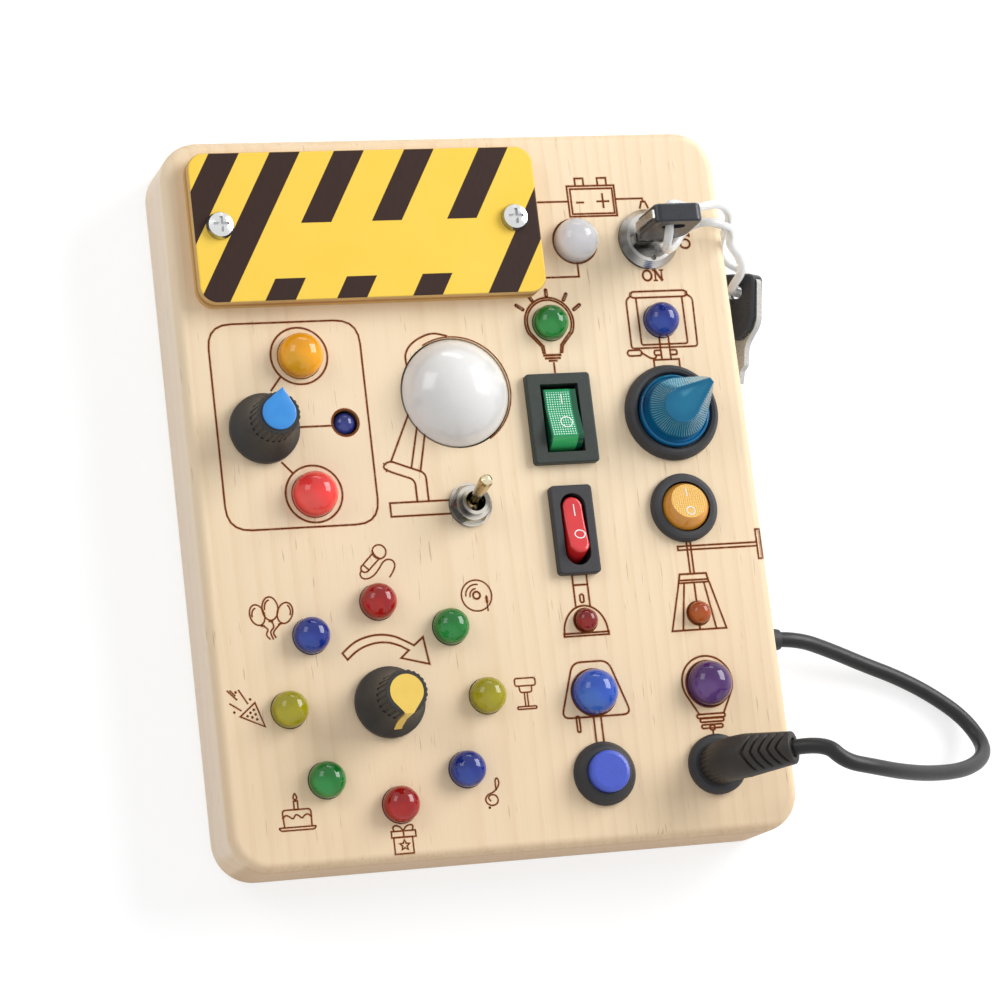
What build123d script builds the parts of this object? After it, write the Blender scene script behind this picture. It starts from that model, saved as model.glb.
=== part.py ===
from build123d import *
import math
import os

# A wooden busy board with switches, knobs, lamps, a key lock and a plug-in lead.
# It lies on its back: +Z comes out of the front face, +X is the reader's right and +Y the top of the board.
# The origin is the middle of the back face. Sizes are millimetres.

# ---------------------------------------------------------------- driving dimensions
BOARD_W, BOARD_H, BOARD_T = 130.0, 162.0, 18.0
BOARD_CORNER, FRONT_ROUND, BACK_ROUND = 9.0, 2.2, 1.2
FACE = BOARD_T                      # height of the front face
FRONT_WALL = 4.0
INNER = FACE - FRONT_WALL           # height of the inner side of the front wall
COVER_T = 3.0
REBATE_W, REBATE_H, REBATE_CORNER = 119.0, 154.0, 6.0
POCKET_W, POCKET_H, POCKET_CORNER = 110.0, 148.0, 4.0
COVER_GAP = 0.3                     # between the back cover and its rebate, per side

COLUMN_A, COLUMN_B = 20.1, 46.5     # the two columns of switches
RING_X, RING_Y, RING_R = -26.7, -46.6, 22.2
DIAL_X, DIAL_Y = -47.9, 15.2        # blue pointer knob

CAP_R = 4.6                         # push button
LED_FLANGE, LED_LEG = 1.0, 3.8
LED_GAP, NAVY_GAP = 0.12, 0.4       # radial play of a lamp in its hole
SCREW_R, PILOT_R = 1.0, 1.03
COUNTERSINK = [(0, -0.1), (2.25, -0.1), (2.15, 0), (1.1, 1.15), (0, 1.15)]

SIGN_X, SIGN_Y, SIGN_W, SIGN_H, SIGN_T = -20.2, 59.8, 79.5, 34.2, 4.5
SIGN_SCREW_PITCH = 67.6

LIGHT_X, LIGHT_Y, LIGHT_R, LIGHT_RISE = -3.5, 21.5, 12.2, 8.0

LOCK_X, LOCK_Y = 46.3, 55.3
KEY_SHOULDER = FACE + 8.6           # where the key's bow meets its blade
BLADE_HALF, HEAD_HALF = 0.95, 2.1   # half thicknesses of the metal key and its moulded head
TOGGLE_X, TOGGLE_Y, TOGGLE_LEAN = -3.2, -4.1, 11.0
GREEN_Y, RED_X, RED_Y, AMBER_Y, SELECTOR_Y, PUSH_Y, JACK_Y = 14.3, 19.9, -11.1, -7.4, 14.6, -65.6, -65.5
ROCK = 12.0                         # half of a rocker's swing, in degrees
SELECTOR_POINTER = 35.0             # where the selector points, in degrees from +X
GRIP_LOW_R, GRIP_TOP_R = 5.9, 2.9   # round end of the selector's grip, at its foot and at its top
FLUTES, FLUTE_STEP, FLUTE_R = 17, 14.0, 0.4
YELLOW_POINTER, BLUE_POINTER = -88.0, 77.0

BOARD_PCB_X, BOARD_PCB_Y, PCB_W, PCB_H, PCB_TOP, PCB_T = -26.7, -46.6, 53.0, 50.0, 9.2, 1.6
PCB_POST_X, PCB_POST_Y, PCB_POST_R = 23.4, 21.9, 2.6

BOX_X, BOX_Y, BOX_W, BOX_H, BOX_WALL = -19.0, 55.6, 58.0, 34.0, 1.2
BOX_TOP, BOX_BOTTOM = 13.7, 0.2
CELL_R, CELL_L, CELL_PITCH, CELL_Z = 5.15, 44.5, 10.5, 7.25

CORD_R, CORD_Z_IN, CORD_Y_IN = 1.75, 8.6, -37.0
PLUG_BASE, PLUG_STRAIGHT, PLUG_BEND_R, PLUG_BEND = FACE + 2.3, 2.2, 9.5, 50.0
PLUG_BOOT = 10.3
TETHER_R = 1.0

# The spare key hangs in the tube beside the right side wall, on one long edge; its blade points to -Y.
SPARE_AT, SPARE_LEAN, SPARE_TURN, SPARE_TIP = (69.92, 36.4, 5.98), -56.0, 6.1, 11.2

# Centre line of the plug's lead, from the gland in the right side wall to the plug, in millimetres.
CORD_ROUTE = [
    (69.0, -37.0, 8.6), (74.0, -37.2, 8.3), (82.6, -39.8, 5.4), (91.2, -43.2, 3.2),
    (99.6, -46.6, 2.2), (107.4, -51.0, 1.8), (114.6, -56.9, 2.2), (117.4, -63.7, 5.0),
    (113.9, -68.1, 11.1), (105.0, -71.4, 19.4), (93.2, -72.6, 27.7), (82.7, -72.5, 35.1),
    (74.2, -71.5, 40.1), (66.8, -70.1, 42.0),
]

# Centre line of the clear tube that ties the two keys, from the front of one bow's slot round to its back.
TETHER_ROUTE = [
    (45.6, 54.8, 35.1), (45.3, 52.0, 34.8), (45.2, 49.7, 32.2), (46.8, 49.8, 27.8),
    (50.2, 51.8, 24.0), (52.8, 55.2, 23.4), (55.4, 56.8, 25.0), (58.6, 56.6, 26.8),
    (62.0, 56.0, 25.8), (65.2, 55.9, 22.4), (66.3, 53.8, 17.4), (69.2, 51.6, 15.4),
    (70.4, 48.4, 13.8), (68.2, 45.4, 11.0), (68.9, 44.9, 9.0), (73.0, 44.8, 6.2),
    (75.8, 45.6, 4.6), (76.6, 48.6, 3.4), (74.4, 52.0, 2.4), (70.8, 53.8, 2.8),
    (68.2, 55.4, 6.0), (67.1, 57.0, 10.8), (67.0, 58.6, 15.6), (66.2, 59.6, 20.2),
    (63.6, 60.6, 24.6), (60.0, 60.6, 27.8), (56.4, 59.4, 29.2), (52.2, 59.0, 30.2),
    (48.6, 59.6, 31.8), (46.0, 58.6, 34.6), (45.6, 55.8, 35.1),
]


# ---------------------------------------------------------------- small builders
def disc(x, y, low, high, r):
    return Pos(x, y, (low + high) / 2) * Cylinder(r, high - low)


def ring(x, y, low, high, outer, inner):
    return disc(x, y, low, high, outer) - disc(x, y, low - 1, high + 1, inner)


def slab(x, y, low, high, w, h, corner=0.0):
    """A plate with straight sides; corner rounds its upright edges."""
    outline = RectangleRounded(w, h, corner) if corner else Rectangle(w, h)
    return Pos(x, y, low) * extrude(outline, high - low)


def stadium(x, y, low, high, w, h):
    return Pos(x, y, low) * extrude(SlotOverall(h, w, rotation=90), high - low)


def turned(x, y, profile):
    """A solid of revolution about an upright axis from (radius, height) points."""
    face = make_face(Plane.XZ * Polyline(*profile, close=True))
    return Pos(x, y, 0) * revolve(face, Axis.Z)


def hexagon(x, y, low, high, flats, bore):
    nut = Pos(x, y, low) * extrude(RegularPolygon(flats / 2, 6, major_radius=False), high - low)
    return nut - disc(x, y, low - 1, high + 1, bore)


def spread(items):
    return Compound(children=[item for item in items])


def fillet_radii(route):
    """Each corner's arc takes 0.45 of its shorter run."""
    radii = []
    for before, here, after in zip(route, route[1:], route[2:]):
        a, b = Vector(*here) - Vector(*before), Vector(*after) - Vector(*here)
        half_turn = math.radians(a.get_angle(b)) / 2
        radii.append(0.45 * min(a.length, b.length) / math.tan(half_turn))
    return radii


def tube(name, route, r):
    radii = fillet_radii(route)
    path = FilletPolyline(*route, radius=radii)
    start = Plane(origin=path @ 0, z_dir=path % 0)
    solid = sweep(start * Circle(r), path=path)
    print(name, "length", round(path.length, 1), "radii", [round(v, 1) for v in radii])
    print(name, "volume", round(solid.volume, 1), "section times length", round(math.pi * r * r * path.length, 1))
    return solid


# ---------------------------------------------------------------- lamps
# name: (x, y, diameter, height above the face, carried by the circuit board)
def ring_lamp(k):
    angle = math.radians(90 + 45 * k)
    return RING_X + RING_R * math.cos(angle), RING_Y + RING_R * math.sin(angle)


SMALL, MEDIUM, LARGE = (5.0, 3.4), (8.0, 5.0), (10.0, 6.0)
LAMPS = {
    "lamps_red": [ring_lamp(0) + MEDIUM, ring_lamp(4) + MEDIUM],
    "lamps_blue": [ring_lamp(1) + MEDIUM, ring_lamp(5) + MEDIUM, (COLUMN_B + 0.4, 36.2) + MEDIUM],
    "lamps_lime": [ring_lamp(2) + MEDIUM, ring_lamp(6) + MEDIUM],
    "lamps_green": [ring_lamp(3) + MEDIUM, ring_lamp(7) + MEDIUM, (COLUMN_A + 0.3, 36.5) + MEDIUM],
    "panel_lamp_orange": [(-38.1, 31.2) + LARGE],
    "panel_lamp_red": [(-38.2, 0.1) + LARGE],
    "panel_lamp_navy": [(-29.4, 15.9, 5.0, 0.8)],
    "desk_lamp_red": [(COLUMN_A + 0.1, -31.4) + SMALL],
    "basket_lamp_amber": [(COLUMN_B + 0.4, -31.4) + SMALL],
    "shade_lamp_blue": [(COLUMN_A, -47.5) + LARGE],
    "bulb_lamp_purple": [(COLUMN_B + 0.5, -47.4) + LARGE],
    "sign_lamp_white": [(28.9, 55.5) + LARGE],
}
ON_CIRCUIT_BOARD = [ring_lamp(k) + MEDIUM for k in range(8)]


def lamp(x, y, d, proud):
    """A domed light-emitting diode with its flange behind the face and two legs."""
    r, top = d / 2, FACE + proud
    body = disc(x, y, INNER, top - r, r) + Pos(x, y, top - r) * Sphere(r)
    body += disc(x, y, INNER - LED_FLANGE, INNER, r + 0.45)
    for side in (-1.27, 1.27):
        leg_low = INNER - LED_FLANGE - LED_LEG
        body += Pos(x + side, y, (leg_low + INNER) / 2 - 0.2) * Box(0.5, 0.5, INNER - leg_low - 0.4)
    return body


def lamp_holder(x, y, d, proud):
    """A cup on the inner side of the wall that keeps one lamp's flange in place."""
    r = d / 2
    return turned(x, y, [
        (r + 0.55, INNER), (r + 1.6, INNER), (r + 1.6, INNER - 2.2), (r - 0.5, INNER - 2.2),
        (r - 0.5, INNER - LED_FLANGE), (r + 0.55, INNER - LED_FLANGE)])


# ---------------------------------------------------------------- wooden body
COVER_SCREWS = [(sx * 57.25, y) for sx in (-1, 1) for y in (-70.0, 3.0, 70.0)]
PCB_POSTS = [(BOARD_PCB_X + sx * PCB_POST_X, BOARD_PCB_Y + sy * PCB_POST_Y) for sx in (-1, 1) for sy in (-1, 1)]
DOOR_SCREW = (BOX_X + BOX_W / 2 - 3.6, BOX_Y)
SIGN_SCREWS = [(SIGN_X + s * SIGN_SCREW_PITCH / 2, SIGN_Y + 0.3) for s in (-1, 1)]

ROUND_HOLES = [                     # (x, y, radius) through the front wall
    (LOCK_X, LOCK_Y, 6.05), (TOGGLE_X, TOGGLE_Y, 3.05), (COLUMN_B, AMBER_Y, 6.95),
    (COLUMN_B, SELECTOR_Y, 8.05), (COLUMN_A, PUSH_Y, 6.05), (COLUMN_B, JACK_Y, 4.05),
    (RING_X, RING_Y, 3.55), (DIAL_X, DIAL_Y, 3.55), (LIGHT_X, LIGHT_Y, LIGHT_R + 0.4),
]


def board_body():
    body = slab(0, 0, 0, BOARD_T, BOARD_W, BOARD_H, BOARD_CORNER)
    body = fillet(body.edges().group_by(Axis.Z)[-1], FRONT_ROUND)
    body = fillet(body.edges().group_by(Axis.Z)[0], BACK_ROUND)
    body -= slab(0, 0, -1, COVER_T, REBATE_W, REBATE_H, REBATE_CORNER)
    pocket = slab(0, 0, COVER_T - 1, INNER, POCKET_W, POCKET_H, POCKET_CORNER)
    for x, y in PCB_POSTS:
        pocket -= disc(x, y, PCB_TOP, INNER + 1, PCB_POST_R)
    body -= pocket
    for x, y, r in ((DIAL_X, DIAL_Y, 8.7), (COLUMN_B, SELECTOR_Y, 10.0)):   # hollows for two wide switches
        body -= disc(x, y, COVER_T - 1, INNER, r)
    for name, lamps in LAMPS.items():
        gap = NAVY_GAP if name == "panel_lamp_navy" else LED_GAP
        for x, y, d, proud in lamps:
            body -= disc(x, y, INNER - 1, FACE + 1, d / 2 + gap)
    for x, y, r in ROUND_HOLES:
        body -= disc(x, y, INNER - 1, FACE + 1, r)
    body -= slab(COLUMN_A, GREEN_Y, INNER - 1, FACE + 1, 13.3, 19.3, 0.6)
    body -= slab(RED_X, RED_Y, INNER - 1, FACE + 1, 8.7, 18.9, 0.6)
    for x, y in COVER_SCREWS:
        body -= disc(x, y, 2, 9.4, PILOT_R)
    for x, y in SIGN_SCREWS:
        body -= disc(x, y, INNER + 0.6, FACE + 1, PILOT_R + 0.4)
    gland_hole = Rot(0, 90, 0) * Cylinder(2.8, 16)
    return body - Pos(58, CORD_Y_IN, CORD_Z_IN) * gland_hole


def back_cover():
    cover = slab(0, 0, 0, COVER_T, REBATE_W - 2 * COVER_GAP, REBATE_H - 2 * COVER_GAP, REBATE_CORNER - 0.3)
    cover -= slab(BOX_X, BOX_Y, -1, COVER_T + 1, BOX_W + 0.5, BOX_H + 0.5, 2.2)
    for x, y in COVER_SCREWS:
        cover -= disc(x, y, -1, COVER_T + 1, SCREW_R + 0.15)
        cover -= turned(x, y, COUNTERSINK)
    return cover


def countersunk_screw(x, y, low, length):
    body = turned(x, y, [(0, low), (1.9, low), (1.9, low + 0.15), (SCREW_R, low + 1.05),
                         (SCREW_R, low + length - 1.2), (0, low + length)])
    return body - cross_recess(x, y, low - 0.01, 0.8, 2.2, 0.5)


def cross_recess(x, y, low, depth, reach, width):
    bars = Box(reach, width, depth) + Box(width, reach, depth)
    return Pos(x, y, low + depth / 2) * bars


def pan_screw(x, y, seat, head_r, head_h, length):
    shank_r = SCREW_R + 0.4
    screw = turned(0, 0, [(0, 0), (0, head_h), (head_r * 0.45, head_h), (head_r * 0.88, head_h * 0.7),
                          (head_r, head_h * 0.25), (head_r, 0), (shank_r, 0), (shank_r, 1.4 - length), (0, -length)])
    screw -= cross_recess(0, 0, head_h / 2, head_h, head_r * 1.15, head_r * 0.24)
    return Pos(x, y, seat) * screw


def sign_plate():
    plate = slab(SIGN_X, SIGN_Y, FACE, FACE + SIGN_T, SIGN_W, SIGN_H, 4.0)
    plate = fillet(plate.edges().group_by(Axis.Z)[-1], 0.5)
    for x, y in SIGN_SCREWS:
        plate -= disc(x, y, FACE - 1, FACE + SIGN_T + 1, PILOT_R + 0.5)
    return plate


# ---------------------------------------------------------------- power and circuit
def battery_box():
    box = slab(BOX_X, BOX_Y, BOX_BOTTOM, BOX_TOP, BOX_W, BOX_H, 2.0)
    box += slab(BOX_X, BOX_Y, COVER_T, COVER_T + 1.2, BOX_W + 5, BOX_H + 1.2, 2.4)
    inside_w, inside_h = BOX_W - 2 * BOX_WALL, BOX_H - 2 * BOX_WALL
    box -= slab(BOX_X, BOX_Y, BOX_BOTTOM - 1, 1.9, inside_w + 0.6, inside_h + 0.6, 1.2)
    bay_w = inside_w - 4.4          # the rest of the length is the boss for the door's screw
    box -= slab(BOX_X - 2.2, BOX_Y, BOX_BOTTOM, BOX_TOP - 1.0, bay_w, inside_h, 0.8)
    for k in (-0.5, 0.5):
        box += slab(BOX_X - 2.2, BOX_Y + k * CELL_PITCH, 11.2, BOX_TOP - 0.5, bay_w - 10, 0.8)
    return box - disc(*DOOR_SCREW, 1, 9.6, PILOT_R)


def battery_cells():
    cells = []
    for k in (-1, 0, 1):
        profile = [(0, 0), (CELL_R - 0.3, 0), (CELL_R, 0.4), (CELL_R, CELL_L - 1.5),
                   (CELL_R - 0.6, CELL_L - 0.9), (1.9, CELL_L - 0.8), (1.9, CELL_L), (0, CELL_L)]
        cell = Rot(0, 90, 0) * turned(0, 0, profile)
        flip = 180 if k == 0 else 0
        middle = Pos(BOX_X - 2.2, BOX_Y + k * CELL_PITCH, CELL_Z) * Rot(0, 0, flip)
        cells.append(middle * Pos(-CELL_L / 2 - 0.4, 0, 0) * cell)
    return spread(cells)


def battery_contacts():
    """Flat plates at one end of each cell and coned springs at the other."""
    pieces = []
    inside = BOX_W - 2 * BOX_WALL - 4.4
    for k in (-1, 0, 1):
        side = 1 if k == 0 else -1          # the side that the cell's flat end faces
        y = BOX_Y + k * CELL_PITCH
        for end in (-1, 1):
            plate = Pos(BOX_X - 2.2 + end * (inside / 2 - 0.2), y, CELL_Z) * Box(0.4, 8.6, 8.4)
            if end == side:
                gap = inside / 2 - 0.4 - (CELL_L / 2 + 0.4)
                cone = Cone(3.6, 2.0, gap) - Cone(3.0, 1.4, gap)
                cone = Rot(0, -90 * end, 0) * cone
                plate += Pos(BOX_X - 2.2 + end * (inside / 2 - 0.4 - gap / 2), y, CELL_Z) * cone
            pieces.append(plate)
    return spread(pieces)


def battery_door():
    inside_w, inside_h = BOX_W - 2 * BOX_WALL + 0.6, BOX_H - 2 * BOX_WALL + 0.6
    door = slab(BOX_X, BOX_Y, 0, 1.8, inside_w - 0.4, inside_h - 0.4, 1.0)
    door -= disc(*DOOR_SCREW, -1, 3, SCREW_R + 0.15)
    door -= turned(*DOOR_SCREW, COUNTERSINK)
    for k in range(5):                      # grip ribs pressed into the lid
        door -= slab(BOX_X - 20 + 1.8 * k, BOX_Y, -1, 0.4, 0.8, 12)
    return door


def circuit_board():
    board = slab(BOARD_PCB_X, BOARD_PCB_Y, PCB_TOP - PCB_T, PCB_TOP, PCB_W, PCB_H, 3.0)
    board -= disc(RING_X, RING_Y, PCB_TOP - 3, PCB_TOP + 1, 8.9)
    for x, y, d, proud in ON_CIRCUIT_BOARD:
        for side in (-1.27, 1.27):
            board -= Pos(x + side, y, PCB_TOP - 1) * Box(0.8, 0.8, 4)
    return board


# ---------------------------------------------------------------- key lock
def lock_body():
    flange = turned(LOCK_X, LOCK_Y, [(0, 3.6), (6.0, 3.6), (6.0, FACE), (7.0, FACE), (7.0, FACE + 0.9),
                                     (5.7, FACE + 2.4), (5.0, FACE + 2.6), (0, FACE + 2.6)])
    flange -= disc(LOCK_X, LOCK_Y, 5.0, FACE + 4, 4.05)
    return flange - disc(LOCK_X, LOCK_Y - 4.85, FACE + 1.8, FACE + 4, 0.65)


def lock_rotor():
    rotor = disc(LOCK_X, LOCK_Y, 5.4, FACE + 2.2, 4.0)
    return rotor - Pos(LOCK_X, LOCK_Y, FACE - 3.4) * Box(6.9, 2.1, 14.8)


def key_blade_shape():
    """Flat key in its own frame: the bow rises along +Z from the shoulder at 0, the blade hangs below."""
    half_bow = [(3.3, -3.6), (6.5, 1.6), (6.0, 12.0)]
    teeth = [(-3.3, -13.6), (-2.4, -15.2), (-1.2, -15.2), (-0.4, -13.4), (0.4, -14.2), (1.2, -12.2), (2.0, -12.6),
             (2.3, -9.6), (3.3, -8.2)]
    outline = [(-x, z) for x, z in reversed(half_bow)] + teeth + half_bow
    corner_radii = [1.2, 5.0, 5.0] + [0.2] * len(teeth) + [5.0, 5.0, 1.2]
    rim = FilletPolyline(*outline, radius=corner_radii, close=True)
    plate = extrude(make_face(Plane.XZ * rim), BLADE_HALF, both=True)
    plate -= Pos(0, -BLADE_HALF, -6.5) * Box(1.2, 0.7, 11.0)        # groove milled along the blade
    return plate - slot_cut()


def slot_cut():
    return Pos(0, 0, 8.6) * Rot(90, 0, 0) * extrude(SlotOverall(5.4, 3.0), 4, both=True)


def key_head_shape():
    """Two moulded cheeks over the bow, joined by a web across its top."""
    half_head = [(2.4, -2.4), (5.0, 0.0), (5.8, 2.6), (5.6, 12.9)]
    outline = half_head + [(-x, z) for x, z in reversed(half_head)]
    corner_radii = [1.5, 2.5, 4.0, 1.6, 1.6, 4.0, 2.5, 1.5]
    rim = FilletPolyline(*outline, radius=corner_radii, close=True)
    head = extrude(make_face(Plane.XZ * rim), HEAD_HALF, both=True)
    head = chamfer(head.edges().group_by(Axis.Y)[0] + head.edges().group_by(Axis.Y)[-1], 0.4)
    return head - slot_cut() - bow_room()


def bow_room():
    """The room that the bow takes up in the head."""
    outline = [(-7.0, -4.0), (7.0, -4.0), (7.0, 11.0), (5.6, 12.0), (-5.6, 12.0), (-7.0, 11.0)]
    return extrude(make_face(Plane.XZ * Polyline(*outline, close=True)), BLADE_HALF, both=True)


KEY_IN_LOCK = Pos(LOCK_X, LOCK_Y, KEY_SHOULDER)
SPARE_KEY = Pos(*SPARE_AT) * Rot(0, 0, -SPARE_TURN) * Rot(SPARE_TIP - 90, 0, 0) * Rot(0, 0, SPARE_LEAN)


# ---------------------------------------------------------------- toggle switch
def toggle_housing():
    body = slab(TOGGLE_X, TOGGLE_Y, 5.0, INNER, 7.9, 13.0, 0.4)
    body += disc(TOGGLE_X, TOGGLE_Y, INNER, FACE + 4.6, 3.0)
    for k in (-1, 0, 1):                    # solder lugs
        body += Pos(TOGGLE_X, TOGGLE_Y + 4.7 * k, 4.2) * Box(2.0, 0.8, 1.8)
    body -= disc(TOGGLE_X, TOGGLE_Y, FACE - 1.4, FACE + 2.6, 1.9)
    body -= Pos(TOGGLE_X, TOGGLE_Y, FACE + 3.7) * Cone(1.9, 2.3, 2.2)
    return body - Pos(TOGGLE_X, TOGGLE_Y, FACE - 4.0) * Box(3.0, 4.4, 5.6)


def toggle_lever():
    pivot = FACE + 1.0
    lever = turned(0, 0, [(0, -3.4), (0.9, -3.4), (0.9, 0.6), (1.05, 2.4), (1.45, 11.0), (1.5, 12.4),
                          (1.25, 13.3), (0.7, 13.8), (0, 13.9)])
    lever += Sphere(1.83)
    return Pos(TOGGLE_X, TOGGLE_Y, pivot) * Rot(-TOGGLE_LEAN, 0, 0) * lever


def toggle_hardware():
    washer = ring(TOGGLE_X, TOGGLE_Y, FACE, FACE + 0.6, 4.9, 3.05)
    front = hexagon(TOGGLE_X, TOGGLE_Y, FACE + 0.6, FACE + 2.8, 8.0, 3.02)
    cone = Pos(TOGGLE_X, TOGGLE_Y, FACE + 1.7) * Cone(5.4, 3.9, 2.2)
    return spread([washer, front & cone])


# ---------------------------------------------------------------- rocker switches
def rocker_profile(r_end, a_end, dip, depth, fold, hollow):
    """Side view about its pivot: arcs at both ends; the top is a shallow V at fold, or one hollow arc."""
    a, low = math.radians(a_end), math.radians(-14)
    tip = (r_end * math.cos(a), r_end * math.sin(a))
    heel = (r_end * math.cos(low), r_end * math.sin(low))
    mid = (r_end * math.cos((a + low) / 2), r_end * math.sin((a + low) / 2))
    with BuildLine() as line:
        if hollow:
            ThreePointArc((-tip[0], tip[1]), (fold, tip[1] - dip), tip)
        else:
            Polyline((-tip[0], tip[1]), (fold, tip[1] - dip), tip)
        ThreePointArc(tip, mid, heel)
        Polyline(heel, (r_end * 0.45, -depth), (-r_end * 0.45, -depth), (-heel[0], heel[1]))
        ThreePointArc((-heel[0], heel[1]), (-mid[0], mid[1]), (-tip[0], tip[1]))
    return make_face(Plane.YZ * line.line)


def rocker(x, y, pivot, width, r_end, a_end, dip, depth, stub, fold=0.0, plan=None):
    body = extrude(rocker_profile(r_end, a_end, dip, depth, fold, plan is not None), width / 2, both=True)
    if plan:
        body &= plan
    body += Rot(0, 90, 0) * Cylinder(0.8, width + 2 * stub)
    return Pos(x, y, pivot) * Rot(-ROCK, 0, 0) * body


def terminals(x, y, low, high, pitch, count=2):
    pins = []
    for k in range(count):
        pins.append(Pos(x, y + pitch * (k - (count - 1) / 2), (low + high) / 2) * Box(4.0, 0.8, high - low))
    return pins


def rocker_housing(x, y, bezel, body_w, body_h, opening, pivot, stub_span):
    housing = bezel + slab(x, y, 7.0, FACE, body_w, body_h, 0.5)
    housing -= opening
    for pin in terminals(x, y, 3.4, 7.2, 7.0):
        housing += pin
    return housing - Pos(x, y, pivot) * Rot(0, 90, 0) * Cylinder(0.86, stub_span)


GREEN_PIVOT = RED_PIVOT = FACE - 1.4
AMBER_PIVOT = FACE + 0.5


def green_housing():
    bezel = slab(COLUMN_A, GREEN_Y, FACE, FACE + 2.0, 15.1, 20.6, 0.8)
    bezel = fillet(bezel.edges().group_by(Axis.Z)[-1], 0.45)
    opening = slab(COLUMN_A, GREEN_Y, 12.4, FACE + 3, 8.9, 15.6)
    return rocker_housing(COLUMN_A, GREEN_Y, bezel, 13.0, 19.0, opening, GREEN_PIVOT, 9.9)


def green_rocker():
    return rocker(COLUMN_A, GREEN_Y, GREEN_PIVOT, 7.6, 7.2, 38.5, 0.7, 2.2, 1.0, fold=1.0)


def red_housing():
    bezel = slab(RED_X, RED_Y, FACE, FACE + 2.0, 9.8, 20.1, 1.0)
    bezel = fillet(bezel.edges().group_by(Axis.Z)[-1], 0.45)
    opening = stadium(RED_X, RED_Y, 12.4, FACE + 3, 5.9, 16.3)
    return rocker_housing(RED_X, RED_Y, bezel, 8.4, 18.6, opening, RED_PIVOT, 6.9)


def red_rocker():
    plan = Pos(0, 0, -5) * extrude(SlotOverall(15.0, 5.0, rotation=90), 14)
    return rocker(RED_X, RED_Y, RED_PIVOT, 5.2, 7.4, 37.0, 0.6, 2.2, 0.75, plan=plan)


def amber_housing():
    bezel = turned(COLUMN_B, AMBER_Y, [(0, 7.0), (6.8, 7.0), (6.8, FACE), (7.8, FACE), (7.8, FACE + 1.0),
                                       (7.3, FACE + 1.9), (6.6, FACE + 2.1), (0, FACE + 2.1)])
    bezel -= disc(COLUMN_B, AMBER_Y, 12.4, FACE + 4, 5.75)
    for pin in terminals(COLUMN_B, AMBER_Y, 3.4, 7.2, 6.0):
        bezel += pin
    return bezel - Pos(COLUMN_B, AMBER_Y, AMBER_PIVOT) * Rot(0, 90, 0) * Cylinder(0.86, 12.6)


def amber_rocker():
    """A ball about the pivot, cut by a flat on top and below."""
    ball = Sphere(5.5) & Pos(0, 0, 0.4) * Box(12, 12, 6.6)
    ball += Rot(0, 90, 0) * Cylinder(0.8, 12.2)
    return Pos(COLUMN_B, AMBER_Y, AMBER_PIVOT) * Rot(-ROCK, 0, 0) * ball


# ---------------------------------------------------------------- selector, push button, jack
def selector_bezel():
    bezel = turned(COLUMN_B, SELECTOR_Y, [(0, 4.2), (8.0, 4.2), (8.0, FACE), (11.0, FACE), (11.0, FACE + 1.0),
                                          (10.4, FACE + 2.4), (9.7, FACE + 2.9), (9.0, FACE + 2.7),
                                          (8.7, FACE + 2.2), (0, FACE + 2.2)])
    return bezel - disc(COLUMN_B, SELECTOR_Y, 8.0, FACE + 4, 4.05) - disc(COLUMN_B, SELECTOR_Y, FACE + 1.2, FACE + 4, 8.7)


def selector_knob():
    """A round foot with a tall drop-shaped grip, fluted all round, whose point shows the position."""
    foot = turned(0, 0, [(0, FACE + 1.6), (8.3, FACE + 1.6), (8.3, FACE + 2.6), (7.9, FACE + 3.3), (0, FACE + 3.3)])
    stem = disc(0, 0, 9.0, FACE + 2, 4.0)
    low, high = FACE + 3.2, FACE + 10.6
    grip = loft([Pos(0, 0, low) * drop(GRIP_LOW_R, 10.8, 8.4), Pos(0, 0, high) * drop(GRIP_TOP_R, 15.2, 9.0)])
    slope = math.degrees(math.atan2(GRIP_LOW_R - GRIP_TOP_R, high - low))
    for k in range(FLUTES):
        around = 180 + (k - (FLUTES - 1) / 2) * FLUTE_STEP
        along_wall = Rot(0, 0, around) * Pos(GRIP_LOW_R + 0.15, 0, low) * Rot(0, -slope, 0)
        grip -= along_wall * Pos(0, 0, 4.6) * Cylinder(FLUTE_R, 7.6)
    return Pos(COLUMN_B, SELECTOR_Y, 0) * Rot(0, 0, SELECTOR_POINTER) * (foot + stem + grip)


def drop(r, apex, end):
    """A circle of radius r whose two tangents run towards (apex, 0) and are cut square at x = end."""
    touch = math.acos(r / apex)
    side = (r * math.cos(touch), r * math.sin(touch))
    half = (apex - end) * side[1] / (apex - side[0])
    with BuildLine() as line:
        Line(side, (end, half))
        Line((end, half), (end, -half))
        Line((end, -half), (side[0], -side[1]))
        ThreePointArc((side[0], -side[1]), (-r, 0), side)
    return make_face(line.line)


def push_bezel():
    bezel = turned(COLUMN_A, PUSH_Y, [(0, 4.4), (6.0, 4.4), (6.0, FACE), (7.05, FACE), (7.05, FACE + 0.8),
                                      (6.3, FACE + 2.0), (5.6, FACE + 2.7), (5.0, FACE + 2.9), (0, FACE + 2.9)])
    bezel -= disc(COLUMN_A, PUSH_Y, FACE - 3.0, FACE + 4, CAP_R + 0.1)
    return bezel - disc(COLUMN_A, PUSH_Y, 6.0, FACE, 2.6)


def push_cap():
    cap = turned(COLUMN_A, PUSH_Y, [(0, FACE - 1.0), (CAP_R, FACE - 1.0), (CAP_R, FACE + 4.2),
                                    (CAP_R - 0.3, FACE + 4.6), (CAP_R - 0.9, FACE + 4.75), (0, FACE + 4.75)])
    return cap + disc(COLUMN_A, PUSH_Y, 10.6, FACE, 1.2)


def push_spring():
    helix = Helix(pitch=1.3, height=5.2, radius=1.9)
    wire = sweep(Plane(origin=helix @ 0, z_dir=helix % 0) * Circle(0.22), path=helix, is_frenet=True)
    return Pos(COLUMN_A, PUSH_Y, 11.4) * wire


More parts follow.
